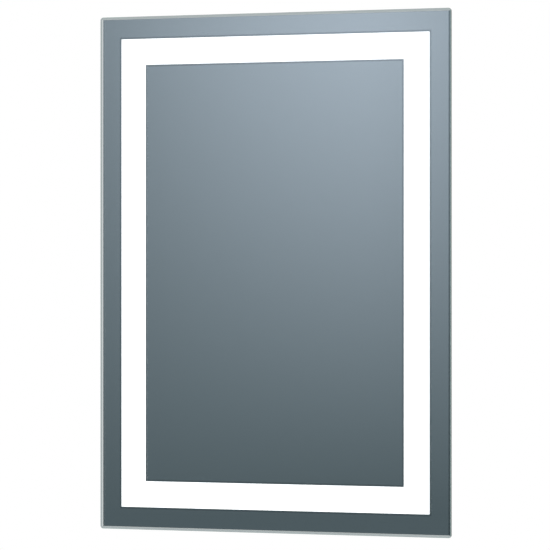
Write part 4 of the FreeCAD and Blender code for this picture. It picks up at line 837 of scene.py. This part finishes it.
FOOT_RADIUS, FOOT_HEIGHT = 0.010, 0.008
FEET_X, FEET_Z = (-0.190, 0.190), -0.520


def rubber_finish():
    finish = Finish("black_rubber", {})
    bloom = finish.noise(size=0.006, detail=3)
    grain = finish.noise(size=0.0005)
    finish.colour(bloom.rise(0.35, 0.7), paint(24, 24, 25), paint(44, 44, 46))
    finish.feed("Roughness", 0.68 + grain * 0.15)
    finish.relief(grain, depth=0.00005)
    return finish


def bumper_outline(radius, height):
    return [(0.0, 0.0), (radius, 0.0), (radius, height * 0.12), (radius * 0.97, height * 0.2),
            (radius * 0.96, height * 0.55), (radius * 0.9, height * 0.8),
            (radius * 0.8, height * 0.95), (radius * 0.66, height), (radius * 0.30, height),
            (radius * 0.26, height * 0.94), (radius * 0.20, height * 0.78), (0.0, height * 0.78)]


rubber = rubber_finish()
bumper_tree = turned_tree("wall_feet", ("Foot Radius", "Foot Height"), bumper_outline, sides=64)
set_out("wall_bumper_set", bumper_tree, [(x, PANEL_BACK, FEET_Z) for x in FEET_X],
        {"Foot Radius": FOOT_RADIUS, "Foot Height": FOOT_HEIGHT}, rubber,
        ["wall_bumpers"])


# ------------------------------------------------------------------ wiring tray and cover
# A folded zinc plated tray behind the panel's opening holds the terminals, the clamp and
# the earth tag. Its cover has a rubber grommet for the supply cable.

GROMMET_X, BORE_RADIUS, FLANGE_RADIUS = 0.096, 0.0045, 0.009
COVER_BACK = -0.007
COVER_SCREW = (0.0012, 0.005)  # shank radius and length
COVER_SCREWS = (0.0365, 0.0265)  # out from the tray's middle


def grommet_outline(bore, flange):
    return [(bore, 0.0030), (flange * 0.80, 0.0030), (flange * 0.94, 0.0025), (flange, 0.0015),
            (flange, 0.0010), (flange * 0.722, 0.0010), (flange * 0.722, 0.0), (flange, 0.0),
            (flange * 0.98, -0.0010), (flange * 0.86, -0.0020), (bore, -0.0020), (bore, 0.0030)]


grommet_tree = turned_tree("cable_grommets", ("Bore Radius", "Flange Radius"), grommet_outline,
                           sides=64)
set_out("cable_grommet_ring", grommet_tree, [(GROMMET_X, PANEL_BACK, TRAY_Z)],
        {"Bore Radius": BORE_RADIUS, "Flange Radius": FLANGE_RADIUS}, rubber,
        ["cable_grommet"])
set_screws("cover_screw_set", tray_corners(*COVER_SCREWS, COVER_BACK), *COVER_SCREW,
           ["cover_screws"])
brass = metal_finish("brass", paint(178, 146, 78), paint(214, 184, 112), 0.24)
dress(zinc, "wiring_tray", "cable_clamp")
dress(rubber, "lead_bush")
dress(moulded_finish("terminal_moulding", paint(218, 212, 194), paint(232, 228, 214), 0.42),
      "terminal_block")
dress(brass, "terminal_screws", "earth_tag")
dress(screw_steel, "clamp_screws", "earth_screw")


# --------------------------------------------------------------------------- power supply
# A white moulded case, held to the panel's inside by two screws through the panel. On the
# circuit board under its lid stand a transformer, two capacitors and a choke.

SUPPLY_SCREW = (0.00175, 0.005625)  # shank radius and length
SUPPLY_SCREWS_X, SUPPLY_Z = (-0.1555, -0.0225), -0.140
CHOKE_X, CHOKE_TURNS = -0.069, 38
BOARD_SQUARE, TRACKS_IN_SQUARE = 0.013, 7

set_screws("driver_fixing_set", [(x, PANEL_BACK, SUPPLY_Z) for x in SUPPLY_SCREWS_X],
           *SUPPLY_SCREW, ["driver_fixings"])
dress(moulded_finish("driver_case", paint(222, 222, 219), paint(234, 234, 231), 0.48,
                     grain=0.0009, depth=0.00006),
      "driver_base", "driver_lid")
dress(screw_steel, "driver_lid_screws")


def circuit_board_finish():
    """Green lacquer over square tracks, with round spots of solder."""
    finish = Finish("circuit_board", {"Roughness": 0.32})
    square = finish.node("ShaderNodeTexVoronoi", {"distance": "CHEBYCHEV"},
                         {"Vector": finish.stretched((1, 0, 1)), "Scale": 1 / BOARD_SQUARE})
    track = ((square * TRACKS_IN_SQUARE) % 1).rise(0.50, 0.62)
    solder = finish.cells(size=0.0042, stretch=(1, 0, 1)).fall(0.16, 0.22)
    lacquer = finish.mix(track, paint(20, 78, 42), paint(34, 112, 62))
    finish.colour(solder, lacquer, paint(176, 178, 176))
    finish.relief(track * 0.4 + solder, depth=0.0002)
    return finish


def winding_finish():
    """Turns of copper wire round the choke's ring."""
    finish = Finish("copper_winding", {"Roughness": 0.28})
    x, _, z = finish.axes()
    around = finish.maths("ARCTAN2", z - SUPPLY_Z, x - CHOKE_X) * CHOKE_TURNS
    wires = finish.maths("SINE", around) * 0.5 + 0.5
    finish.colour(wires, paint(104, 44, 18), paint(186, 96, 48))
    finish.relief(wires, depth=0.0001)
    return finish


dress(circuit_board_finish(), "driver_board")
dress(moulded_finish("transformer", paint(196, 158, 44), paint(222, 188, 76), 0.45,
                     grain=0.0005, depth=0.00004, cloud=0.005),
      "driver_transformer")
dress(moulded_finish("capacitor_sleeve", paint(18, 20, 34), paint(32, 36, 56), 0.28),
      "driver_capacitors")
dress(winding_finish(), "driver_choke")


# --------------------------------------------------------------------------------- leads
# White sheathed leads run from the terminals to the power supply, and from it to the left
# strip. A green and yellow lead goes to the earth tag. A nylon clip and a bush hold them.

STRIPE_WAVE = 900  # radians in a metre, which is a stripe every 7 mm

dress(moulded_finish("lead_sheath", paint(222, 222, 220), paint(234, 234, 232), 0.44),
      "driver_input_lead", "driver_output_lead")
dress(moulded_finish("core_insulation", paint(34, 68, 138), paint(48, 88, 164), 0.36),
      "driver_input_cores")


def earth_finish():
    finish = Finish("earth_insulation", {"Roughness": 0.38})
    _, _, z = finish.axes()
    stripe = finish.maths("SINE", z * STRIPE_WAVE).rise(-0.2, 0.2)
    finish.colour(stripe, paint(40, 124, 44), paint(212, 196, 46))
    finish.relief(finish.noise(size=0.0005), depth=0.00002)
    return finish


dress(earth_finish(), "earth_lead")
dress(moulded_finish("nylon", paint(224, 221, 210), paint(236, 234, 226), 0.40), "lead_clip")
